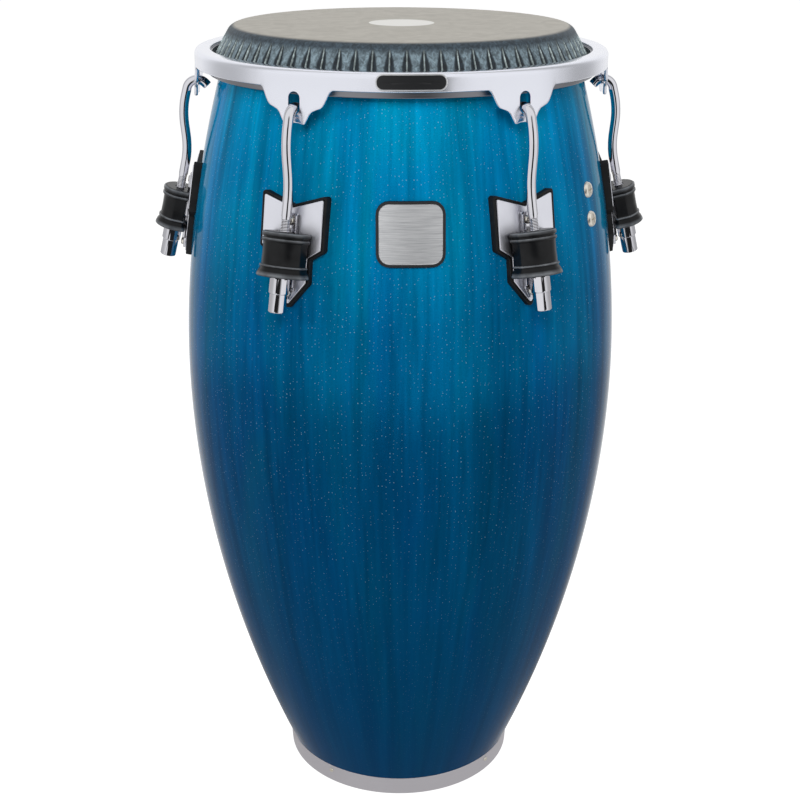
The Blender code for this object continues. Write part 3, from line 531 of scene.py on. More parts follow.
def lacqueredStaves():
    # stained staves under clear gloss lacquer: blue paling upwards, each stave its own tone, dark upright
    # streaks, fine grain and tiny bright flecks; the lacquer mirrors weakly in the stain's own blue, and pale
    # only where the barrel turns away
    c = lacquer
    mirror = {"Roughness": c["roughness"], "IOR": c["ior"], "Specular_Tint": toLinear(c["mirrorTint"])}
    made, tree, shader = startMaterial("lacqueredStaves", **mirror)
    uv = addNode(tree, "ShaderNodeUVMap", uv_map="around").outputs["UV"]  # metres round the belly and up
    parts = parted(tree, uv)
    drift = spanned(tree, noiseOf(tree, uv, (7, 3, 1), 2.0, 0.5), 0.3, 0.7, *c["drift"])
    height = maths(tree, "ADD", maths(tree, "DIVIDE", parts["Y"], drumHeight), drift)
    blue = rampFrom(tree, height, [(place, toLinear(stain)) for place, stain in stainTints])
    stave = maths(tree, "FLOOR", maths(tree, "DIVIDE", parts["X"], c["staveMm"] / 1000))
    ownTone = addNode(tree, "ShaderNodeTexWhiteNoise", {"W": stave}, noise_dimensions="1D").outputs["Value"]
    tone = spanned(tree, ownTone, 0.0, 1.0, *c["staveTones"])
    for width, upwards, detail, twist, span, tones in staveFigure.values():
        noise = noiseOf(tree, uv, (1000 / width, upwards, 1), detail, twist)
        tone = times(tree, tone, spanned(tree, noise, *span, *tones))
    # the figure is strong at the top and fades towards the foot
    figure = spanned(tree, parts["Y"], *c["figureHeights"], *c["figureShare"])
    tone = maths(tree, "ADD", times(tree, less(tree, tone, 1.0), figure), 1.0)
    grained = mixed(tree, 1.0, blue, tone, "MULTIPLY")
    # green-blue and purer blue clouds
    cloud = noiseOf(tree, uv, (1000 / c["cloudMm"], 3.5, 1), 3.0, 0.8)
    grained = mixed(tree, figure, grained, rampFrom(tree, cloud, c["cloudTints"]), "MULTIPLY")
    # flecks in the middles of some cells, fading towards the foot
    scattered = {"Vector": uv, "Scale": 1000 / c["fleckMm"]}
    cells = addNode(tree, "ShaderNodeTexVoronoi", scattered, voronoi_dimensions="2D")
    pick = addNode(tree, "ShaderNodeSeparateColor", {"Color": cells.outputs["Color"]}).outputs
    size = spanned(tree, pick[1], 0.0, 1.0, *c["fleckSize"])
    near = maths(tree, "LESS_THAN", cells.outputs["Distance"], size)
    fleck = times(tree, spanned(tree, pick[0], *c["fleckPick"], *c["fleckShare"]), near)
    fleck = times(tree, fleck, spanned(tree, parts["Y"], *c["fleckHeights"], *c["fleckFade"]))
    feed(shader, "Base Color", mixed(tree, fleck, grained, toLinear(c["fleckTint"])))
    return made


def bareWood():
    # planed stave wood inside the barrel, unfinished: pale brown and dull
    made, tree, shader = startMaterial("bareStaves", Roughness=0.75)
    uv = addNode(tree, "ShaderNodeUVMap", uv_map="around").outputs["UV"]
    grain = noiseOf(tree, uv, (220, 6, 1), 5.0)
    wood = [(0.3, toLinear("#8a6a48")), (0.7, toLinear("#b8946a"))]
    feed(shader, "Base Color", rampFrom(tree, grain, wood))
    return made


def chromePlate(name, roughness, tint):
    # bright chrome plate over polished steel: near-mirror, a little cool, faintly hazed by wiping
    made, tree, shader = startMaterial(name, Metallic=1.0, Base_Color=toLinear(tint))
    haze = noiseOf(tree, objectSpace(tree), evenly(60), 3.0)
    feed(shader, "Roughness", spanned(tree, haze, 0.0, 1.0, roughness * 0.75, roughness * 1.3))
    return made


def brushedSteel(name, roughness, tint):
    # satin steel rubbed round the drum: lines a quarter of a millimetre wide along the band
    made, tree, shader = startMaterial(name, Metallic=1.0, Base_Color=toLinear(tint))
    rub = noiseOf(tree, objectSpace(tree), (30, 30, 4000), 3.0)
    feed(shader, "Roughness", spanned(tree, rub, 0.0, 1.0, roughness * 0.7, roughness * 1.4))
    bumpInto(tree, shader, rub, 0.15, 0.00005)
    return made


def moulded(name, roughness, tint, grainMm, strength):
    # moulded black polymer: deep black with the mould's fine spark-eroded grain, mirroring little; edges that
    # carry the attribute get a painted highlight
    made, tree, shader = startMaterial(name, Roughness=roughness, Specular_IOR_Level=0.2)
    where = objectSpace(tree)
    wearAndHighlightNoise = noiseOf(tree, where, evenly(90), 3.0)
    dark = toLinear(tint)
    pale = tuple(min(1.0, v * 1.7 + 0.004) for v in dark[:3]) + (1.0,)
    body = rampFrom(tree, wearAndHighlightNoise, [(0.35, dark), (0.75, pale)])
    # painted highlight: edges that carry the attribute turn pale grey, broken up by the noise; a piece
    # without the attribute has none
    edge = addNode(tree, "ShaderNodeAttribute", attribute_name="paintedEdgeHighlight").outputs["Fac"]
    edge = times(tree, edge, spanned(tree, wearAndHighlightNoise, 0.35, 0.65, 0.5, 1.0))
    feed(shader, "Base Color", mixed(tree, edge, body, toLinear("#8a8e93")))
    bumpInto(tree, shader, noiseOf(tree, where, evenly(1000 / grainMm), 2.0), strength, 0.0002)
    return made


skin = {
    "face": ("#aca89f", "#bdb9b0"),
    "faceEdge": (0.1524, 0.1556),
    "disc": "#f6f5f1",
    "discEdge": (0.0305, 0.0297),
    "collar": ("#36424b", "#75868f"),
    # the pleats' dark hollows: partly dirt, partly painted shadow
    "hollow": "#1d262d",
    # the pleats' pale crests: painted highlight
    "crest": "#bccbcb",
    "mottle": [(0.33, grey(0.5)), (0.5, grey(1.0)), (0.68, grey(1.7))],
}


def syntheticSkin():
    # fibre-backed synthetic skin: matt warm grey with faint fibres, slate and leathery on the pleated collar,
    # with a painted highlight on each fold's crest and a dark, partly dirt and partly painted shadow, in the
    # dips between them
    c, h = skin, headShape
    made, tree, shader = startMaterial("syntheticSkin", Roughness=0.6)
    where = objectSpace(tree)
    parts = parted(tree, where)
    flat = addNode(tree, "ShaderNodeCombineXYZ", {"X": parts["X"], "Y": parts["Y"]}).outputs[0]
    out = addNode(tree, "ShaderNodeVectorMath", {0: flat}, operation="LENGTH").outputs["Value"]
    fibre = noiseOf(tree, where, evenly(55), 8.0, 1.2)
    mottle = noiseOf(tree, where, (360, 360, 260), 4.0, 0.8)
    face = rampFrom(tree, fibre, [(place, toLinear(tint)) for place, tint in zip((0.3, 0.7), c["face"])])
    # between the folds mid grey; each fold is a thin pale crest of painted highlight in a dark hollow, partly
    # dirt and partly painted shadow, that widens like an arch
    pitch = times(tree, less(tree, azimuthOf(tree, parts), h["phase"]), h["pleats"] / tau)
    away = maths(tree, "ABSOLUTE", less(tree, pitch, maths(tree, "ROUND", pitch)))
    down = spanned(tree, parts["Z"], h["collarTop"], h["collarFoot"], 0.0, 1.0)
    half = maths(tree, "POWER", spanned(tree, down, h["foldStart"], h["foldFull"], 0.0, 1.0), 0.5)
    half = times(tree, half, h["hollow"])
    # the hollow's dark is partly dirt and partly painted shadow
    hollow = spanned(tree, less(tree, away, half), -0.09, 0.01, 1.0, 0.0)
    # the crest's pale line is a painted highlight
    crest = spanned(tree, away, 0.02, 0.06, 1.0, 0.0)
    crest = times(tree, crest, spanned(tree, down, h["foldStart"], 0.35, 0.0, 0.9))
    upper, lower = (toLinear(tint) for tint in c["collar"])
    collar = mixed(tree, spanned(tree, down, 0.0, 0.3, 0.0, 1.0), upper, lower)
    collar = mixed(tree, hollow, collar, toLinear(c["hollow"]))
    collar = mixed(tree, crest, collar, toLinear(c["crest"]))
    collar = mixed(tree, 1.0, collar, rampFrom(tree, mottle, c["mottle"]), "MULTIPLY")
    body = mixed(tree, spanned(tree, out, *c["faceEdge"], 0.0, 1.0), face, collar)
    # plain pale disc in the middle of the head
    disc = spanned(tree, out, *c["discEdge"], 0.0, 1.0)
    feed(shader, "Base Color", mixed(tree, disc, body, toLinear(c["disc"])))
    bumpInto(tree, shader, mottle, 0.12, 0.0003)
    return made


def badgeMetal(name, metalField):
    # brushed metal and black enamel, told apart by a mask that is 1 on the sunken field
    made, tree, shader = startMaterial(name, Roughness=0.46)
    mask = addNode(tree, "ShaderNodeAttribute", attribute_name="field").outputs["Fac"]
    isMetal = mask if metalField else less(tree, 1.0, mask)
    rub = noiseOf(tree, objectSpace(tree), (60, 60, 2500), 3.0)
    metal = rampFrom(tree, rub, [(0.3, toLinear("#c9cbce")), (0.7, toLinear("#f2f3f5"))])
    feed(shader, "Base Color", mixed(tree, isMetal, toLinear("#101114"), metal))
    feed(shader, "Metallic", isMetal)
    return made


looks = {
    "shell": lacqueredStaves(),
    "inside": bareWood(),
    "rim": chromePlate("polishedChrome", 0.22, "#e6e8f1"),
    "rod": chromePlate("chromedRod", 0.05, "#d6d6dc"),
    "plate": chromePlate("mirrorChrome", 0.36, "#dfe0e8"),
    "bracket": chromePlate("chromedPressing", 0.10, "#d0d0d6"),
    "screw": chromePlate("nickelScrew", 0.34, "#e4dfd4"),
    "hoop": brushedSteel("galvanisedHoop", 0.35, "#8a8a8f"),
    "band": brushedSteel("satinBand", 0.42, "#d2cfd4"),
    "rubber": moulded("mouldedRubber", 0.55, "#121213", 0.5, 0.25),
    "cover": moulded("mouldedNylon", 0.32, "#0a0b0d", 0.35, 0.08),
    "head": syntheticSkin(),
    "badge": badgeMetal("enamelledBadge", metalField=True),
    "label": badgeMetal("enamelledLabel", metalField=False),
}
print("materials")


# Shell


def makeShell():
    s, f = shellShape, footShape
    heights = np.linspace(s["footHeight"], s["neckHeight"], 150)
    inward = heights[::-4]
    edgeTop = s["edgeHeight"] + s["edgeRound"]
    profile = joined(
        [(f["ringOuter"], f["rebate"]), (f["ringOuter"], s["footHeight"])],
        packed(shellRadius(heights), heights),
        arcPoints((s["edgeRadius"], s["edgeHeight"]), s["edgeRound"], 0, 90, 8),
        [(s["edgeRadius"] - s["edgeFlat"], edgeTop), s["chamfer"]],
        packed(shellRadius(inward) - s["wall"], inward),
        [(f["ringInner"], f["rebate"])],
    )
    piece = addPiece("shell", [turned(profile, 288)], "shell")
    mesh = piece.data
    mesh.materials.append(looks["inside"])
    # round and up the shell in metres, for the grain: the angle times the belly's radius, and the height; a
    # face that crosses the back keeps all its corners on one side
    corner = np.empty(len(mesh.loops), np.int32)
    mesh.loops.foreach_get("vertex_index", corner)
    where = np.empty(len(mesh.vertices) * 3)
    mesh.vertices.foreach_get("co", where)
    where = where.reshape(-1, 3)[corner]
    angle = np.arctan2(where[:, 0], -where[:, 1])
    firstOfFace = np.repeat(angle[::4], 4)
    angle = np.where(angle - firstOfFace > math.pi, angle - tau, angle)
    angle = np.where(firstOfFace - angle > math.pi, angle + tau, angle)
    layer = mesh.uv_layers.new(name="around")
    layer.data.foreach_set("uv", packed(angle * s["bellyRadius"], where[:, 2]).ravel())
    # faces of the inner wall take the bare wood
    middle = np.empty(len(mesh.polygons) * 3)
    mesh.polygons.foreach_get("center", middle)
    x, y, z = middle.reshape(-1, 3).T
    out = np.hypot(x, y)
    underEdge = (z < 0.75) | (out < 0.153)
    isInside = (out < shellRadius(z) - s["wall"] / 2) & underEdge
    mesh.polygons.foreach_set("material_index", isInside.astype(np.int32))
    mesh.update()


makeShell()
print("shell")


# Head: playing surface, fold over the edge and pleated collar


def headProfile():
    # the skin's outer line from its middle to the collar's foot, and the inner line back again
    h, thickness = headShape, headShape["thickness"]
    centre = (shellShape["edgeRadius"], shellShape["edgeHeight"])
    inner = shellShape["edgeRound"] + h["layer"]
    back = h["foldRound"] - (inner + thickness)
    fold = arcPoints((centre[0] - back, centre[1] - back), h["foldRound"], 90, h["flare"], 10)
    fall = (h["nest"] - fold[-1][0]) / math.tan(math.radians(h["flare"]))
    collarFoot = (h["nest"], fold[-1][1] - fall)
    flat = packed(np.linspace(h["middle"], centre[0] - back, 10), drumHeight)
    collar = resampled(joined([fold[-1]], [collarFoot], [(h["nest"], h["foot"])]), 0.0012)
    outer = joined(flat, fold[1:], collar[1:])
    under = joined(
        [(h["nest"] - thickness, h["foot"]), (h["nest"] - thickness, collarFoot[1])],
        arcPoints(centre, inner, h["flare"], 90, 5),
        [(centre[0], drumHeight - thickness), (h["middle"], drumHeight - thickness)],
    )
    return outer, under


def makeHead():
    # pleats: hollow * cos^2 within an arch whose half width grows as the root of the way down, and a thin
    # crest standing up in the hollow's middle
    h = headShape
    outer, under = headProfile()
    profile = joined(outer, under)
    column = np.arange(h["pleats"] * h["columns"])
    away = np.abs((column / h["columns"] + 0.5) % 1.0 - 0.5)
    down = np.clip((h["collarTop"] - profile[:, 1:]) / (h["collarTop"] - h["collarFoot"]), 0, 1)
    arch = np.clip((down - h["foldStart"]) / (h["foldFull"] - h["foldStart"]), 0, 1)
    half = h["hollow"] * np.sqrt(arch)
    share = np.clip(away / np.maximum(half, 0.001), 0, 1)
    hollow = np.cos(share * math.pi / 2) ** 2 * (half > 0)
    crest = np.clip(1 - away / 0.06, 0, 1)
    rise = np.clip((down - h["foldStart"]) / 0.5, 0, 1)
    rise[len(outer) :] = 0
    pleat = (h["pleatDepth"] + h["crest"]) * crest - h["pleatDepth"] * hollow
    radius = np.minimum(profile[:, :1] + rise * pleat, h["nest"])
    points = roundAxis(radius, evenAngles(len(column)) + h["phase"], profile[:, 1:])
    piece = addPiece("drumhead", [gridShape(points, caps=True)], "head", 50, body=None)
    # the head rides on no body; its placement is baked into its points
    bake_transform(piece)


makeHead()
print("head")


# Rim with its six slotted ears, and the flesh hoop under it

hoopShape = {"inner": 0.1738, "outer": 0.1782, "foot": 0.7196, "top": 0.7387, "soft": 0.0012}
rimShape = {
    "top": 0.742,
    "outer": 0.190,
    "inner": 0.1755,
    "plate": 0.003,
    "wall": 0.0032,
    "sideFoot": 0.7262,
    "round": 0.0046,
    "lipRound": 0.0014,
    "footRound": 0.0012,
    "sideRows": 13,
    "lean": 0.0018,
    "earDepth": 0.0288,
    "earReach": 0.038,
    "slotWidth": 0.011,
    "slotTop": -0.002,
    "lipDepth": 0.0208,
}
# half of an ear: distance along the rim from its middle, and depth below the side
earHalf = [
    (0.0, 0.0276),
    (0.0050, 0.0277),
    (0.0072, 0.0285),
    (0.0095, 0.0288),
    (0.0108, 0.0268),
    (0.0126, 0.0236),
    (0.0142, 0.0205),
    (0.0165, 0.0180),
    (0.0205, 0.0163),
    (0.0240, 0.0150),
    (0.0262, 0.0132),
    (0.0282, 0.0100),
    (0.0302, 0.0058),
    (0.0322, 0.0020),
    (0.0345, 0.0),
]


def makeHoop():
    c = hoopShape
    profile = joined(
        [(c["inner"], c["top"]), (c["outer"], c["top"])],
        arcPoints((c["outer"] - c["soft"], c["foot"] + c["soft"]), c["soft"], 0, -90, 6),
        arcPoints((c["inner"] + c["soft"], c["foot"] + c["soft"]), c["soft"], -90, -180, 6),
    )
    addPiece("fleshHoop", [turned(profile, 240)], "hoop", body="rim")


def earFall(along):
    # how far the side reaches down at a distance along the rim from an ear's middle: straight between the
    # points of the ear's half outline, smoothed by a short running mean
    fine = np.linspace(-0.05, 0.05, 2001)
    raw = np.interp(np.abs(fine), *np.array(earHalf).T, right=0.0)
    kernel = np.hanning(41)
    smooth = np.convolve(np.pad(raw, 20, mode="edge"), kernel / kernel.sum(), mode="valid")
    return np.interp(np.abs(along), fine[1000:], smooth[1000:], right=0.0)


def rimColumns():
    # azimuths round the rim, close together at the ears, and the distance of each to its ear's middle
    near = np.linspace(-rimShape["earReach"], rimShape["earReach"], 191) / rimShape["outer"]
    gap = np.linspace(near[-1], tau / 6 + near[0], 22)[1:-1]
    one = np.concatenate([near, gap])
    angle = np.concatenate([one + tau / 12 + k * tau / 6 for k in range(6)])
    fromEar = angle % (tau / 6) - tau / 12
    return angle, fromEar * rimShape["outer"]


def makeRim():
    # rows of (radius, height) round the rim: over the top, down the outer side to the ears' own edge, leaning
    # out there, round that edge and back up the inner side
    r = rimShape
    angle, along = rimColumns()
    fall = earFall(along)
    lean = r["lean"] * fall / r["earDepth"]
    soft = r["footRound"]
    foot = r["sideFoot"] - fall + soft
    outer, inner = r["outer"] + lean, r["outer"] - r["wall"] + lean
    sideTop, plateFoot = r["top"] - r["round"], r["top"] - r["plate"]
    over = joined(
        [(r["inner"], plateFoot + 0.0004)],
        arcPoints((r["inner"] + r["lipRound"], r["top"] - r["lipRound"]), r["lipRound"], 180, 90, 5),
        arcPoints((r["outer"] - r["round"], sideTop), r["round"], 90, 0, 10),
    )
    rows = list(over)
    share = np.linspace(0, 1, r["sideRows"] + 1)[1:]
    rows += [(r["outer"] + lean * t**2, sideTop + (foot - sideTop) * t) for t in share]
    for turn in np.radians([-30, -60, -90]):
        rows.append((outer - soft + soft * math.cos(turn), foot + soft * math.sin(turn)))
    for turn in np.radians([-90, -120, -150, -180]):
        rows.append((inner + soft + soft * math.cos(turn), foot + soft * math.sin(turn)))
    rows += [(r["outer"] - r["wall"] + lean * (1 - t) ** 2, foot + (plateFoot - foot) * t) for t in share]
    rows.append((r["inner"], plateFoot))
    points = np.array([roundAxis(radius, angle, height) for radius, height in rows])
    cutSlots(addPiece("rim", [gridShape(points, wrapRows=True)], "rim", 50, body="rim"))


def cutSlots(piece):
    # six upright round-ended slots through the ears, as one cutter of separate prisms
    r = rimShape
    half = r["slotWidth"] / 2
    outline = joined(
        arcPoints((0, r["sideFoot"] + r["slotTop"] - half), half, 0, 180, 24),
        arcPoints((0, r["sideFoot"] - r["lipDepth"] + half), half, 180, 360, 24),
    )
    depths = (r["outer"] - 0.008, r["outer"] + 0.008)
    prism = gridShape(np.array([packed(outline[:, 0], -depth, outline[:, 1]) for depth in depths]), caps=True)
    turns = [Matrix.Rotation(math.radians(azimuth), 4, "Z") for azimuth in lugPlaces.values()]
    cutter = addObject("slotCutter", meshFrom("slotCutter", [placed(prism, turn) for turn in turns]))
    change = piece.modifiers.new("slots", "BOOLEAN")
    change.operation = "DIFFERENCE"
    change.solver = "EXACT"
    change.object = cutter
    bpy.context.view_layer.update()
    graph = bpy.context.evaluated_depsgraph_get()
    cut = bpy.data.meshes.new_from_object(piece.evaluated_get(graph))
    piece.modifiers.clear()
    piece.data = cut
    cut.set_sharp_from_angle(angle=math.radians(50))
    bpy.data.objects.remove(cutter)


makeHoop()
makeRim()
print("rim")


# Tuning hardware, six sets

rodShape = {
    "radius": 0.004,
    "shank": 0.0044,
    "hookRadius": 0.010,
    "hookCentre": (0.18935, 0.70095),
    "hookStart": 15,
    "hookEnd": 138,
    "tail": 0.0025,
    "tip": 0.0004,
    "tipSizes": (0.93, 0.75),
    "bendRadius": 0.080,
    "bendPoints": 14,
    "lowerBend": 0.0372,
    "upperDrop": 0.0169,
    "foot": -0.0660,
    "threadTop": 0.0120,
    "pitch": 0.00125,
    "threadDepth": 0.00045,
    "sides": 32,
}


def rodPath():
    # the rod's centreline in its own frame, as (Y, Z): two bends above the straight thread, hook, short tail
    r = rodShape
    start, end = math.radians(r["hookStart"]), math.radians(r["hookEnd"])
    hook = arcPoints(r["hookCentre"], r["hookRadius"], r["hookStart"], r["hookEnd"], 40)
    tail = hook[-1] + r["tail"] * np.array([-math.sin(end), math.cos(end)])
    drop = r["upperDrop"] + r["hookRadius"] * math.sin(start)
    upper = hook[0] + drop * np.array([math.tan(start), -1])
    section = joined(upper, hook, tail)
    world = packed(0.0, -section[:, 0], section[:, 1], 1.0)
    upper, *hook = (world @ np.array(rodFrame(0).inverted()).T)[:, 1:3]
    foot, lower = np.array([0, r["foot"]]), np.array([0, r["lowerBend"]])
    bend = (r["bendRadius"], r["bendPoints"])
    return joined(cornerArc(foot, lower, upper, *bend), cornerArc(lower, upper, hook[0], *bend), hook)


def tubeRows(middle, across, x, side):
    # rings round points of a centreline, from their offsets along X and square to both
    return packed(x, middle[..., :1] + across[..., :1] * side, middle[..., 1:] + across[..., 1:] * side)


def threadedRod():
    # a tube along the centreline; on the thread its radius falls by a triangle wave of height less turn
    r = rodShape
    thread = np.arange(r["foot"], r["threadTop"], r["pitch"] / 8)
    above = (0, r["threadTop"] + 0.0015)
    rows = joined(packed(0.0, thread), above, resampled(rodPath(), 0.0012))
    ahead = unit(np.gradient(rows, axis=0))
    across = packed(ahead[:, 1], -ahead[:, 0])
    turn = evenAngles(r["sides"])
    cut = np.abs((rows[:, 1:] / r["pitch"] - turn / tau) % 1.0 * 2 - 1)
    onThread = np.clip((r["threadTop"] - 0.001 - rows[:, 1:]) / 0.001, 0, 1)
    onThread[len(thread) :] = 0
    plain = np.full((len(rows), 1), r["shank"])
    plain[: len(thread)] = r["radius"]
    radius = plain - r["threadDepth"] * cut * onThread
    x, side = radius * np.cos(turn), radius * np.sin(turn)
    tip = rows[-1] + ahead[-1] * r["tip"]
    bevel = [tubeRows(tip, across[-1], x[-1] * size, side[-1] * size) for size in r["tipSizes"]]
    return gridShape(np.concatenate([tubeRows(rows, across, x, side), bevel]), caps=True)


nutShape = {
    "top": -0.0383,
    "collar": 0.0140,
    "foot": -0.0680,
    "collarAcross": 0.0156,
    "across": 0.0136,
    "bore": 0.0045,
    "bevel": [(0, 0.96), (0.0004, 1.02), (0.0011, 1.2)],  # depth, cone as a share of half the width
    "rightTurn": -24,  # degrees, for the nuts on the drum's right
}


def hexRadius(across, angle):
    # distance from the axis to a hexagon's side, its flats slightly crowned and its corners rounded
    folded = (angle - math.radians(12) + math.pi / 6) % (tau / 6) - math.pi / 6
    sharp = across / 2 / np.cos(folded) ** 0.75
    return np.minimum(sharp, across / 2 * 1.11)


def deepNut():
    # hexagons whose ends are turned off by a cone: each row takes the lesser of hexagon and cone
    n = nutShape
    angle = evenAngles(120)
    top, foot, collarFoot = n["top"], n["foot"], n["top"] - n["collar"]
    wide, slim = n["collarAcross"], n["across"]
    rings = [(top - depth, wide, cone) for depth, cone in n["bevel"]]
    rings += [(collarFoot + depth, wide, cone) for depth, cone in reversed(n["bevel"])]
    rings += [(collarFoot - 0.0002, slim, 2), (foot + 0.0011, slim, 2)]
    rings += [(foot + 0.0004, slim, 1.03), (foot, slim, 0.95)]
    rows = [(np.minimum(hexRadius(across, angle), across / 2 * cone), z) for z, across, cone in rings]
    rows += [(n["bore"] + 0.0004, foot), (n["bore"], foot + 0.001), (n["bore"], top)]
    points = [packed(radius * np.cos(angle), radius * np.sin(angle), z) for radius, z in rows]
    return gridShape(np.array(points), wrapRows=True)


plateShape = {
    "corners": [  # its right half from the bottom up
        (0, -0.0522),
        (0.019, -0.0289),
        (0.019, -0.0086),
        (0.0315, -0.0005),
        (0.0315, 0.0471),
        (0, 0.0370),
    ],
    "cornerRadius": 0.0026,
    "plateCorner": 0.0014,
    "border": 0.0027,
    "gasketRound": 0.0009,
    "plateRound": 0.0007,
}


def shellDepth(flat):
    # how far the shell's surface lies behind the plate's seat plane at (x, z) points on it
    s = plateSeat
    x, up = flat[:, 0], flat[:, 1]
    depth = np.zeros_like(x)
    for _ in range(3):
        radial = s["radius"] + depth * math.cos(s["tilt"]) - up * math.sin(s["tilt"])
        height = s["height"] + up * math.cos(s["tilt"]) + depth * math.sin(s["tilt"])
        target = np.sqrt(np.maximum(shellRadius(height) ** 2 - x**2, 0))
        depth = depth + (target - radial) / math.cos(s["tilt"])
    return depth + s["gap"] / 2


def gasketPiece():
    # shaped to the shell at its back; in front a lip stands round the plate
    p, s = plateShape, plateSeat
    face = s["gap"] + s["gasket"]
    lip = face + s["gap"] + s["plate"] * 0.55
    border = p["border"] - 0.0002
    steps = [(0.0, shellDepth)] + softEdge(lip, p["gasketRound"])[1:-2]
    steps += [(border - 0.0008, lip), (border - 0.0004, lip), (border, lip - 0.0004), (border, face)]
    return slab(mirroredCorners(p["corners"]), p["cornerRadius"], steps)


def platePiece():
    p, s = plateShape, plateSeat
    corners = insetCorners(mirroredCorners(p["corners"]), p["border"])
    return slab(corners, p["plateCorner"], softEdge(s["plate"], p["plateRound"], s["plateBack"], 5))


bracketShape = {
    "strapHalf": 0.0065,
    "strapTop": 0.030,
    "taper": -0.0355,
    "end": -0.0435,
    "endHalf": 0.003,
    "endRound": 0.001,
    "strapRound": 0.0005,
    "cheek": 0.0015,
    "low": 0.0015,
    "bevel": 0.002,
    "lap": 0.004,
    "sink": 0.002,
    "cheekEnd": -0.0345,
    "cheekRound": 0.0008,
    "cheekSoft": 0.0003,
    "barrelRadius": 0.008,
    "bore": 0.0045,
    "barrelFoot": -0.0377,
    "barrelLip": -0.0010,
    "lipRound": 0.0006,
}


def cheekPiece(side):
    # one cheek: its outline in the plate's depth and height, given the sheet's thickness across X
    b, soft = bracketShape, bracketShape["cheekSoft"]
    back = plateSeat["strapBack"]
    low = back + plateSeat["strap"] + b["low"]
    intoSeat = np.array(seatFrame(0).inverted() @ rodFrame(0))
    top = (intoSeat @ np.array([0, 0, 0, 1]))[1:3]
    foot = (intoSeat @ np.array([0, 0, b["barrelFoot"], 1]))[1:3]
    corners = [
        (-back, b["cheekEnd"]),
        (-low, b["cheekEnd"] + b["bevel"]),
        (-low, foot[1]),
        (foot[0] + b["sink"], foot[1] + b["lap"]),
        (top[0] + b["sink"], top[1] - b["lap"]),
        (-low, top[1]),
        (-low, b["strapTop"] - b["bevel"]),
        (-back, b["strapTop"]),
    ]
    outline = outlineFrom(corners, b["cheekRound"], 5)
    inward = outlineNormals(outline)  # inward, because the corners run clockwise
    inner, outer = b["strapHalf"] - b["cheek"], b["strapHalf"]
    rows = []
    for inset, x in ((soft, inner), (0, inner + soft), (0, outer - soft), (soft, outer)):
        flat = outline + inward * inset
        rows.append(packed(side * x, flat[:, 0], flat[:, 1]))
    return gridShape(np.array(rows), caps=True)


def bracketPieces():
    b, soft = bracketShape, bracketShape["lipRound"]
    half = [(b["endHalf"], b["end"]), (b["strapHalf"], b["taper"]), (b["strapHalf"], b["strapTop"])]
    front = softEdge(plateSeat["strap"], b["strapRound"], plateSeat["strapBack"])
    strap = slab(mirroredCorners(half), b["endRound"], front)
    bore, outer, foot, lip = b["bore"], b["barrelRadius"], b["barrelFoot"], b["barrelLip"]
    profile = joined(
        [(bore, foot), (bore, lip - soft), (bore + soft, lip)],
        arcPoints((outer - soft, lip - soft), soft, 90, 0, 4),
        (outer, foot),
    )
    return strap, cheekPiece(-1), cheekPiece(1), turned(profile, 48)


coverShape = {
    "height": 0.038,
    "half": 0.0202,
    "front": 0.0155,
    "back": 0.0103,
    "backCorner": 0.002,
    "crown": 0.013,
    "skirt": 0.0018,
    "skirtHeight": 0.0075,
    "rib": 0.0013,
    "bore": 0.0083,
    "mouth": 0.0049,
    "mouthDepth": 0.0008,
}


def coverOutline():
    # the D seen from above, anticlockwise: an arc across the front, straight sides, flat back
    c = coverShape
    half, back = c["half"], c["back"]
    bow = (half**2 + c["crown"] ** 2) / (2 * c["crown"])
    reach = math.degrees(math.asin(half / bow))
    front = arcPoints((0, bow - c["front"]), bow, -90 - reach, -90 + reach, 60)[1:-1]
    sides = outlineFrom([(half, 0), (half, back), (-half, back), (-half, 0)], c["backCorner"])[6:-6]
    shoulder = c["crown"] - c["front"] + 0.0004
    outline = joined(front, (half, shoulder), sides, (-half, shoulder))
    return resampled(joined(outline, outline[0]), 0.0012)[:-1]


def coverSteps():
    # down the cover: height, how far it stands out from the D, and how strong the painted highlight on its
    # edges is
    c, rib = coverShape, coverShape["rib"]
    foot = -c["height"]
    bead = foot + c["skirtHeight"]
    flange = [
        (0.0, -1.8 * rib, 0),
        (-0.0003, -1.1 * rib, 0.5),
        (-0.0010, -0.1 * rib, 1.0),
        (-0.0014, 0, 0.5),
        (-0.0036, 0, 0),
        (-0.0040, -0.15 * rib, 0),
        (-0.0044, -rib, 0),
    ]
    ridge = [
        (-0.0056, -rib, 0),
        (-0.0060, -0.15 * rib, 1.0),
        (-0.0064, 0, 0.6),
        (-0.0078, 0, 0),
        (-0.0083, -0.15 * rib, 0),
        (-0.0089, -rib, 0),
    ]
    waist = [
        (-0.0100, -1.15 * rib, 0),
        (-0.0190, -1.3 * rib, 0),
        (bead + 0.0032, -1.15 * rib, 0),
        (bead + 0.0026, -0.9 * rib, 0),
        (bead + 0.0022, -0.1 * rib, 1.0),
        (bead + 0.0012, 0, 0.5),
        (bead + 0.0008, -0.1 * rib, 0),
        (bead + 0.0004, -0.7 * rib, 0),
        (bead - 0.0006, -0.5 * rib, 0),
        (bead - 0.0030, 0.6 * rib, 0),
    ]
    skirt = [
        (foot + 0.0018, c["skirt"], 0.8),
        (foot + 0.0006, c["skirt"] + 0.0001, 0.5),
        (foot, c["skirt"] - 0.0006, 0),
    ]
    return flange + ridge + waist + skirt


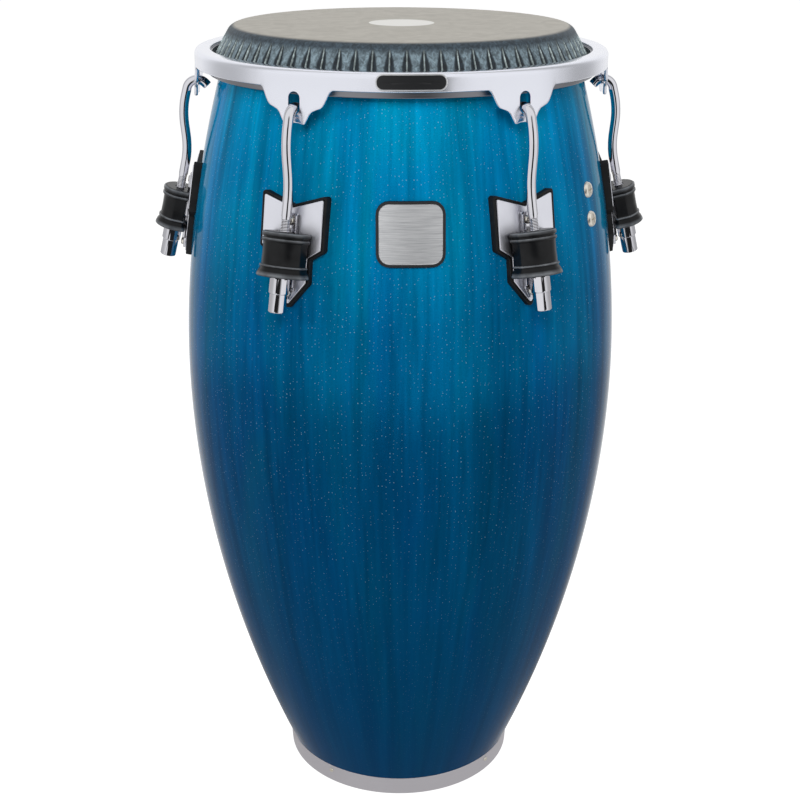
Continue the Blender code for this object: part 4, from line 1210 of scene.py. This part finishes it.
def coverPiece():
    # the D carried down its steps, in to the bore and back up it, through the mouth and out over the top
    c = coverShape
    steps = coverSteps()
    outer = coverOutline()
    normals = outlineNormals(outer)
    foot, ceiling = -c["height"], -c["mouthDepth"]
    hole, mouth = unit(outer) * c["bore"], unit(outer) * c["mouth"]
    rows = [(outer + normals * grow, height) for height, grow, _ in steps]
    rows += [(hole * 1.06, foot), (hole, foot + 0.0005), (hole, ceiling)]
    rows += [(mouth, ceiling), (mouth, -0.0003), (mouth * 1.06, 0), (mouth * 1.16, 0)]
    rows += [(outer * size, 0) for size in (0.62, 0.86, 0.9)]
    points = np.array([packed(flat[:, 0], flat[:, 1], height) for flat, height in rows])
    # painted highlight on the rib edges: one value per row of the steps, none on the bore and top
    paintedEdgeHighlight = np.zeros(points.shape[:2], np.float32)
    paintedEdgeHighlight[: len(steps)] = [[amount] for *_, amount in steps]
    return gridShape(points, wrapRows=True), paintedEdgeHighlight.ravel()


crossRecess = {"arm": 0.11, "reach": 0.58, "depth": 0.55}  # as shares of the head's radius and height
boltShape = {"upper": 0.0232, "lower": -0.0378, "radius": 0.0037, "height": 0.0024, "nut": (0.0055, 0.0042)}
nutBehind = shellShape["wall"] + 0.0006


def panHead(radius, height, sides=64):
    # a domed head with a cross recess: rings of a dome, pushed in where a point lies on either arm
    c = crossRecess
    share = np.concatenate([np.linspace(0.03, 0.62, 15), np.linspace(0.68, 1.0, 9)])[:, None]
    angle = evenAngles(sides)
    x, y = share * radius * np.cos(angle), share * radius * np.sin(angle)
    dome = height * (1 - 0.28 * share**2 - 0.72 * np.clip((share - 0.72) / 0.28, 0, 1) ** 2.5)
    arm = np.minimum(np.abs(x), np.abs(y)) / radius
    reach = np.maximum(np.abs(x), np.abs(y)) / radius
    cut = np.clip((c["arm"] - arm) / 0.05, 0, 1) * np.clip((c["reach"] - reach) / 0.08, 0, 1)
    rows = packed(x, cut * height * c["depth"] - dome, y)
    back = packed(x[-1], 0.0, y[-1])
    return gridShape(np.concatenate([rows, back[None]]), caps=True)


def innerNut(radius, height):
    # a flanged hex nut seen inside the shell, along +Y: its rings by share of the height
    angle = evenAngles(48)
    hexagon = np.minimum(hexRadius(radius * 1.5, angle), radius * 0.96)
    rings = [(0, radius), (0.25, radius), (0.3, hexagon), (0.95, hexagon), (1.0, radius * 0.72)]
    points = [packed(out * np.cos(angle), share * height, out * np.sin(angle)) for share, out in rings]
    return gridShape(np.array(points), caps=True)


def makeLugs():
    rod, nut, gasket, plate = threadedRod(), deepNut(), gasketPiece(), platePiece()
    *sheets, barrel = bracketPieces()
    cover, paintedEdgeHighlight = coverPiece()
    head = panHead(boltShape["radius"], boltShape["height"])
    inner = innerNut(*boltShape["nut"])
    for place, azimuth in lugPlaces.items():
        seat, line = seatFrame(azimuth), rodFrame(azimuth)
        nutLine = line @ Matrix.Rotation(math.radians(nutShape["rightTurn"] if azimuth > 0 else 0), 4, "Z")
        bracket = [placed(sheet, seat) for sheet in sheets] + [placed(barrel, line)]
        addPiece(f"plateGasket_{place}", [placed(gasket, seat)], "rubber", 45)
        addPiece(f"sidePlate_{place}", [placed(plate, seat)], "plate", 30)
        addPiece(f"lugBracket_{place}", bracket, "bracket", 35)
        piece = addPiece(f"lugCover_{place}", [placed(cover, line)], "cover", 45)
        # the painted highlight on the rib edges goes with the cover for its material
        setAttribute(piece, "paintedEdgeHighlight", paintedEdgeHighlight)
        addPiece(f"tensionRod_{place}", [placed(rod, line)], "rod", 50, f"rod_{place}")
        addPiece(f"tensionNut_{place}", [placed(nut, nutLine)], "rod", 25, f"nut_{place}")
        for label in ("upper", "lower"):
            outside = seat @ Matrix.Translation((0, -plateSeat["strapFace"], boltShape[label]))
            inside = seat @ Matrix.Translation((0, nutBehind, boltShape[label]))
            shapes = [placed(head, outside), placed(inner, inside)]
            addPiece(f"plateBolt_{label}_{place}", shapes, "screw", 35)


makeLugs()
print("lugs")


# Shell screws, badge, rim label and foot

screwPlaces = {
    "azimuth": 58.8,
    "upper": 0.627,
    "lower": 0.601,
    "stand": 0.0002,
    "radius": 0.0073,
    "height": 0.0032,
    "nut": (0.0065, 0.005),
}
badgeShape = {
    "width": 0.058,
    "height": 0.054,
    "corner": 0.011,
    "middle": 0.6108,
    "thickness": 0.002,
    "border": 0.0024,
}
labelShape = {
    "width": 0.0585,
    "height": 0.0140,
    "corner": 0.0065,
    "middle": 0.7345,
    "thickness": 0.0006,
    "border": 0.0011,
}
bandScrews = {
    "azimuths": (48.4, -38.8, 138.4, -128.8),
    "out": 0.11788,
    "up": 0.0138,
    "tilt": -0.06,
    "radius": 0.0024,
    "height": 0.0014,
}


def makeScrews():
    s = screwPlaces
    head = panHead(s["radius"], s["height"], 80)
    inner = innerNut(*s["nut"])
    for label in ("upper", "lower"):
        height = s[label]
        out = float(shellRadius(height)) + s["stand"]
        place = seatMatrix(out, height, shellSlope(height), s["azimuth"])
        shapes = [placed(head, place), placed(inner, place @ Matrix.Translation((0, nutBehind, 0)))]
        addPiece(f"shellScrew_{label}", shapes, "screw", 35)


def wrappedOn(points, radiusOf, gap):
    # flat points (x, -depth, z) laid on a round wall: x becomes the angle, depth adds to the radius
    wall = radiusOf(points[:, 2])
    return roundAxis(wall + gap - points[:, 1], points[:, 0] / wall, points[:, 2])


def rimSide(height):
    return np.full_like(height, rimShape["outer"] - 0.0002)


def labelledPlate(name, shape, look, radiusOf, body="shell", inCad=True):
    # a thin plate bent onto a round wall: raised border round a sunken plain field
    s = shape
    face, border = s["thickness"], s["border"]
    low = face * 0.72
    edge = [(0.0, 0.0), (0.0, face - 0.0005), (0.0002, face - 0.0001), (0.0006, face)]
    edge += [(border - 0.0004, face), (border, low + 0.0002), (border + 0.0003, low)]
    width, height = s["width"] / 2, s["height"] / 2
    field = [(inset, low) for inset in np.linspace(border + 0.0006, height * 0.9, 6)]
    corners = [(-width, -height), (width, -height), (width, height), (-width, height)]
    points, faces = slab(corners, s["corner"], edge + field, 0.0012)
    bent = wrappedOn(points + [0, 0, s["middle"]], radiusOf, 0.0003)
    piece = addPiece(name, [(bent, faces)], look, 40, body, inCad)
    # the mask takes the rows from the border's foot inwards; the last but one point is the back's middle
    columns = (len(points) - 2) // len(edge + field)
    isField = np.arange(len(points)) // columns >= len(edge) - 1
    isField[-2] = False
    setAttribute(piece, "field", isField.astype(np.float32))


def makeFoot():
    f, b = footShape, bandScrews
    half = f["wall"] / 2
    profile = joined(
        [(f["footRadius"] - f["wall"], f["bandFoot"]), (f["footRadius"] - f["edge"], f["bandFoot"])],
        [(f["footRadius"], f["bandFoot"] + f["edge"]), (f["topRadius"], f["bandTop"] - f["edge"])],
        arcPoints((f["topRadius"] - half, f["bandTop"] - half), half, 0, 180, 8),
    )
    addPiece("baseBand", [turned(profile, 240)], "band")
    inner, outer, top = f["ringInner"], f["ringOuter"], f["ringHeight"]
    ring = joined([(inner, 0.0), (outer, 0.0), (outer, top), (inner, top)])
    addPiece("footRing", [turned(ring, 160)], "rubber")
    head = panHead(b["radius"], b["height"], 32)
    for k, azimuth in enumerate(b["azimuths"]):
        place = seatMatrix(b["out"], b["up"], b["tilt"], azimuth)
        addPiece(f"bandScrew_{k}", [placed(head, place)], "screw", 35, inCad=False)


makeScrews()
labelledPlate("badge", badgeShape, "badge", shellRadius)
labelledPlate("rimLabel", labelShape, "label", rimSide, "rim", inCad=False)
makeFoot()
print("foot")


# Stage, light and camera

studio = {
    "levels": [  # azimuth in degrees and brightness of the room as polished things mirror it
        (-180, 1.0),
        (-140, 1.0),
        (-118, 0.58),
        (-98, 0.58),
        (-80, 1.0),
        (80, 1.0),
        (104, 0.5),
        (118, 0.5),
        (140, 1.0),
    ],
    "gapMiddle": 0.12,  # azimuth of the dark gap in radians, and how far to either side its edge fades
    "gapEdge": (0.22, 0.31),
    "gapGrey": 0.02,
    "gapHeights": (0.22, 0.50),  # the gap fades upwards between these rises of the view
    "gapReach": (0.75, 0.95),  # and in the floor between these distances from the drum's middle
    "fill": 0.27,
    "paper": 0.40,
    "paperGlow": 0.91,
}
lamps = {  # place, target, size and power
    "key": ((-0.2, -1.9, 1.8), (0, 0, 0.45), (1.0, 0.7), 18.5),
    "left": ((-1.8, -1.0, 1.4), (0, 0, 0.5), (0.3, 0.4), 8),
    "right": ((1.8, -1.0, 1.4), (0, 0, 0.5), (0.3, 0.4), 5.5),
    "back": ((0.3, 1.5, 2.0), (0, 0, 0.6), (1.6, 1.0), 15),
}
cameraPlace = {
    "distance": 1.3392,
    "height": 0.8977,
    "azimuth": -2.5,
    "pitch": 20.73,
    "roll": 0.224,
    "lens": 63.63,
}


def roomLight(tree, vector, gapShown):
    # how bright the studio looks in polished things, by direction: white backdrop behind the drum, softer at
    # its sides, white in front, and where gapShown is 1 a dark gap a little right of the front
    s = studio
    turn = azimuthOf(tree, parted(tree, vector))
    levels = [(azimuth / 360 + 0.5, grey(level)) for azimuth, level in s["levels"]]
    room = rampFrom(tree, maths(tree, "ADD", maths(tree, "DIVIDE", turn, tau), 0.5), levels)
    away = maths(tree, "ABSOLUTE", less(tree, turn, s["gapMiddle"]))
    gap = times(tree, spanned(tree, away, *s["gapEdge"], 1.0, 0.0), gapShown)
    return mixed(tree, gap, room, grey(s["gapGrey"]))


def makeStage():
    # matt white paper; the camera sees it as the white background with a faint contact shadow
    s = studio
    mesh = bpy.data.meshes.new("floor")
    mesh.from_pydata([(-9, -9, 0), (9, -9, 0), (9, 9, 0), (-9, 9, 0)], [], [(0, 1, 2, 3)])
    made, tree, look = startMaterial("paleFloor", Base_Color=toLinear("#e2e2e4"), Roughness=0.9)
    rays = addNode(tree, "ShaderNodeLightPath").outputs
    where = objectSpace(tree)
    paper = addNode(tree, "ShaderNodeBsdfDiffuse", {"Color": grey(s["paper"])})
    white = addNode(tree, "ShaderNodeEmission", {"Color": grey(1.0), "Strength": s["paperGlow"]})
    seen = addNode(tree, "ShaderNodeAddShader", {0: paper.outputs[0], 1: white.outputs[0]})
    reach = addNode(tree, "ShaderNodeVectorMath", {0: where}, operation="LENGTH").outputs["Value"]
    room = roomLight(tree, where, spanned(tree, reach, *s["gapReach"], 0.0, 1.0))
    shaded = spanned(tree, reach, 0.2, 0.8, 0.6, 0.95)  # the drum dims the paper at its own foot
    mirrored = addNode(tree, "ShaderNodeEmission", {"Color": room, "Strength": shaded})
    for ray, other in (("Is Camera Ray", seen), ("Is Glossy Ray", mirrored)):
        choice = {0: rays[ray], 1: look.outputs[0], 2: other.outputs[0]}
        look = addNode(tree, "ShaderNodeMixShader", choice)
    tree.links.new(look.outputs[0], tree.nodes["Material Output"].inputs["Surface"])
    mesh.materials.append(made)
    floor = addObject("floor", mesh)


def makeLight(name, place, target, size, power):
    light = bpy.data.lights.new(name, "AREA")
    light.shape = "RECTANGLE"
    light.size, light.size_y = size
    light.energy = power
    lamp = addObject(name, light)
    lamp.visible_glossy = False
    out = Vector(place) - Vector(target)
    lamp.matrix_world = Matrix.Translation(place) @ out.to_track_quat("Z", "Y").to_matrix().to_4x4()


def makeWorld():
    # the camera sees white, polished things mirror the room, and the rest gets an even grey
    s = studio
    world = bpy.data.worlds.new("studio")
    bpy.context.scene.world = world
    world.use_nodes = True
    tree = world.node_tree
    tree.nodes.clear()
    rays = addNode(tree, "ShaderNodeLightPath").outputs
    where = addNode(tree, "ShaderNodeTexCoord").outputs["Generated"]
    mirror = maths(tree, "MAXIMUM", rays["Is Glossy Ray"], rays["Is Transmission Ray"])
    low = spanned(tree, parted(tree, where)["Z"], *s["gapHeights"], 1.0, 0.0)
    colour = mixed(tree, mirror, grey(s["fill"]), roomLight(tree, where, low))
    colour = mixed(tree, rays["Is Camera Ray"], colour, grey(1.0))
    sky = addNode(tree, "ShaderNodeBackground", {"Color": colour, "Strength": 1.0})
    addNode(tree, "ShaderNodeOutputWorld", {"Surface": sky.outputs[0]})


def makeCamera():
    c = cameraPlace
    camera = bpy.data.cameras.new("camera")
    camera.sensor_width = 36
    camera.lens = c["lens"]
    eye = addObject("camera", camera)
    turn = math.radians(c["azimuth"])
    where = Matrix.Translation((c["distance"] * math.sin(turn), -c["distance"] * math.cos(turn), c["height"]))
    face = Matrix.Rotation(turn, 4, "Z") @ Matrix.Rotation(math.radians(90 - c["pitch"]), 4, "X")
    eye.matrix_world = where @ face @ Matrix.Rotation(math.radians(c["roll"]), 4, "Z")
    bpy.context.scene.camera = eye


makeStage()
makeWorld()
for lampName, settings in lamps.items():
    makeLight(lampName, *settings)
makeCamera()
bpy.context.scene.view_settings.view_transform = "Standard"
print("stage")
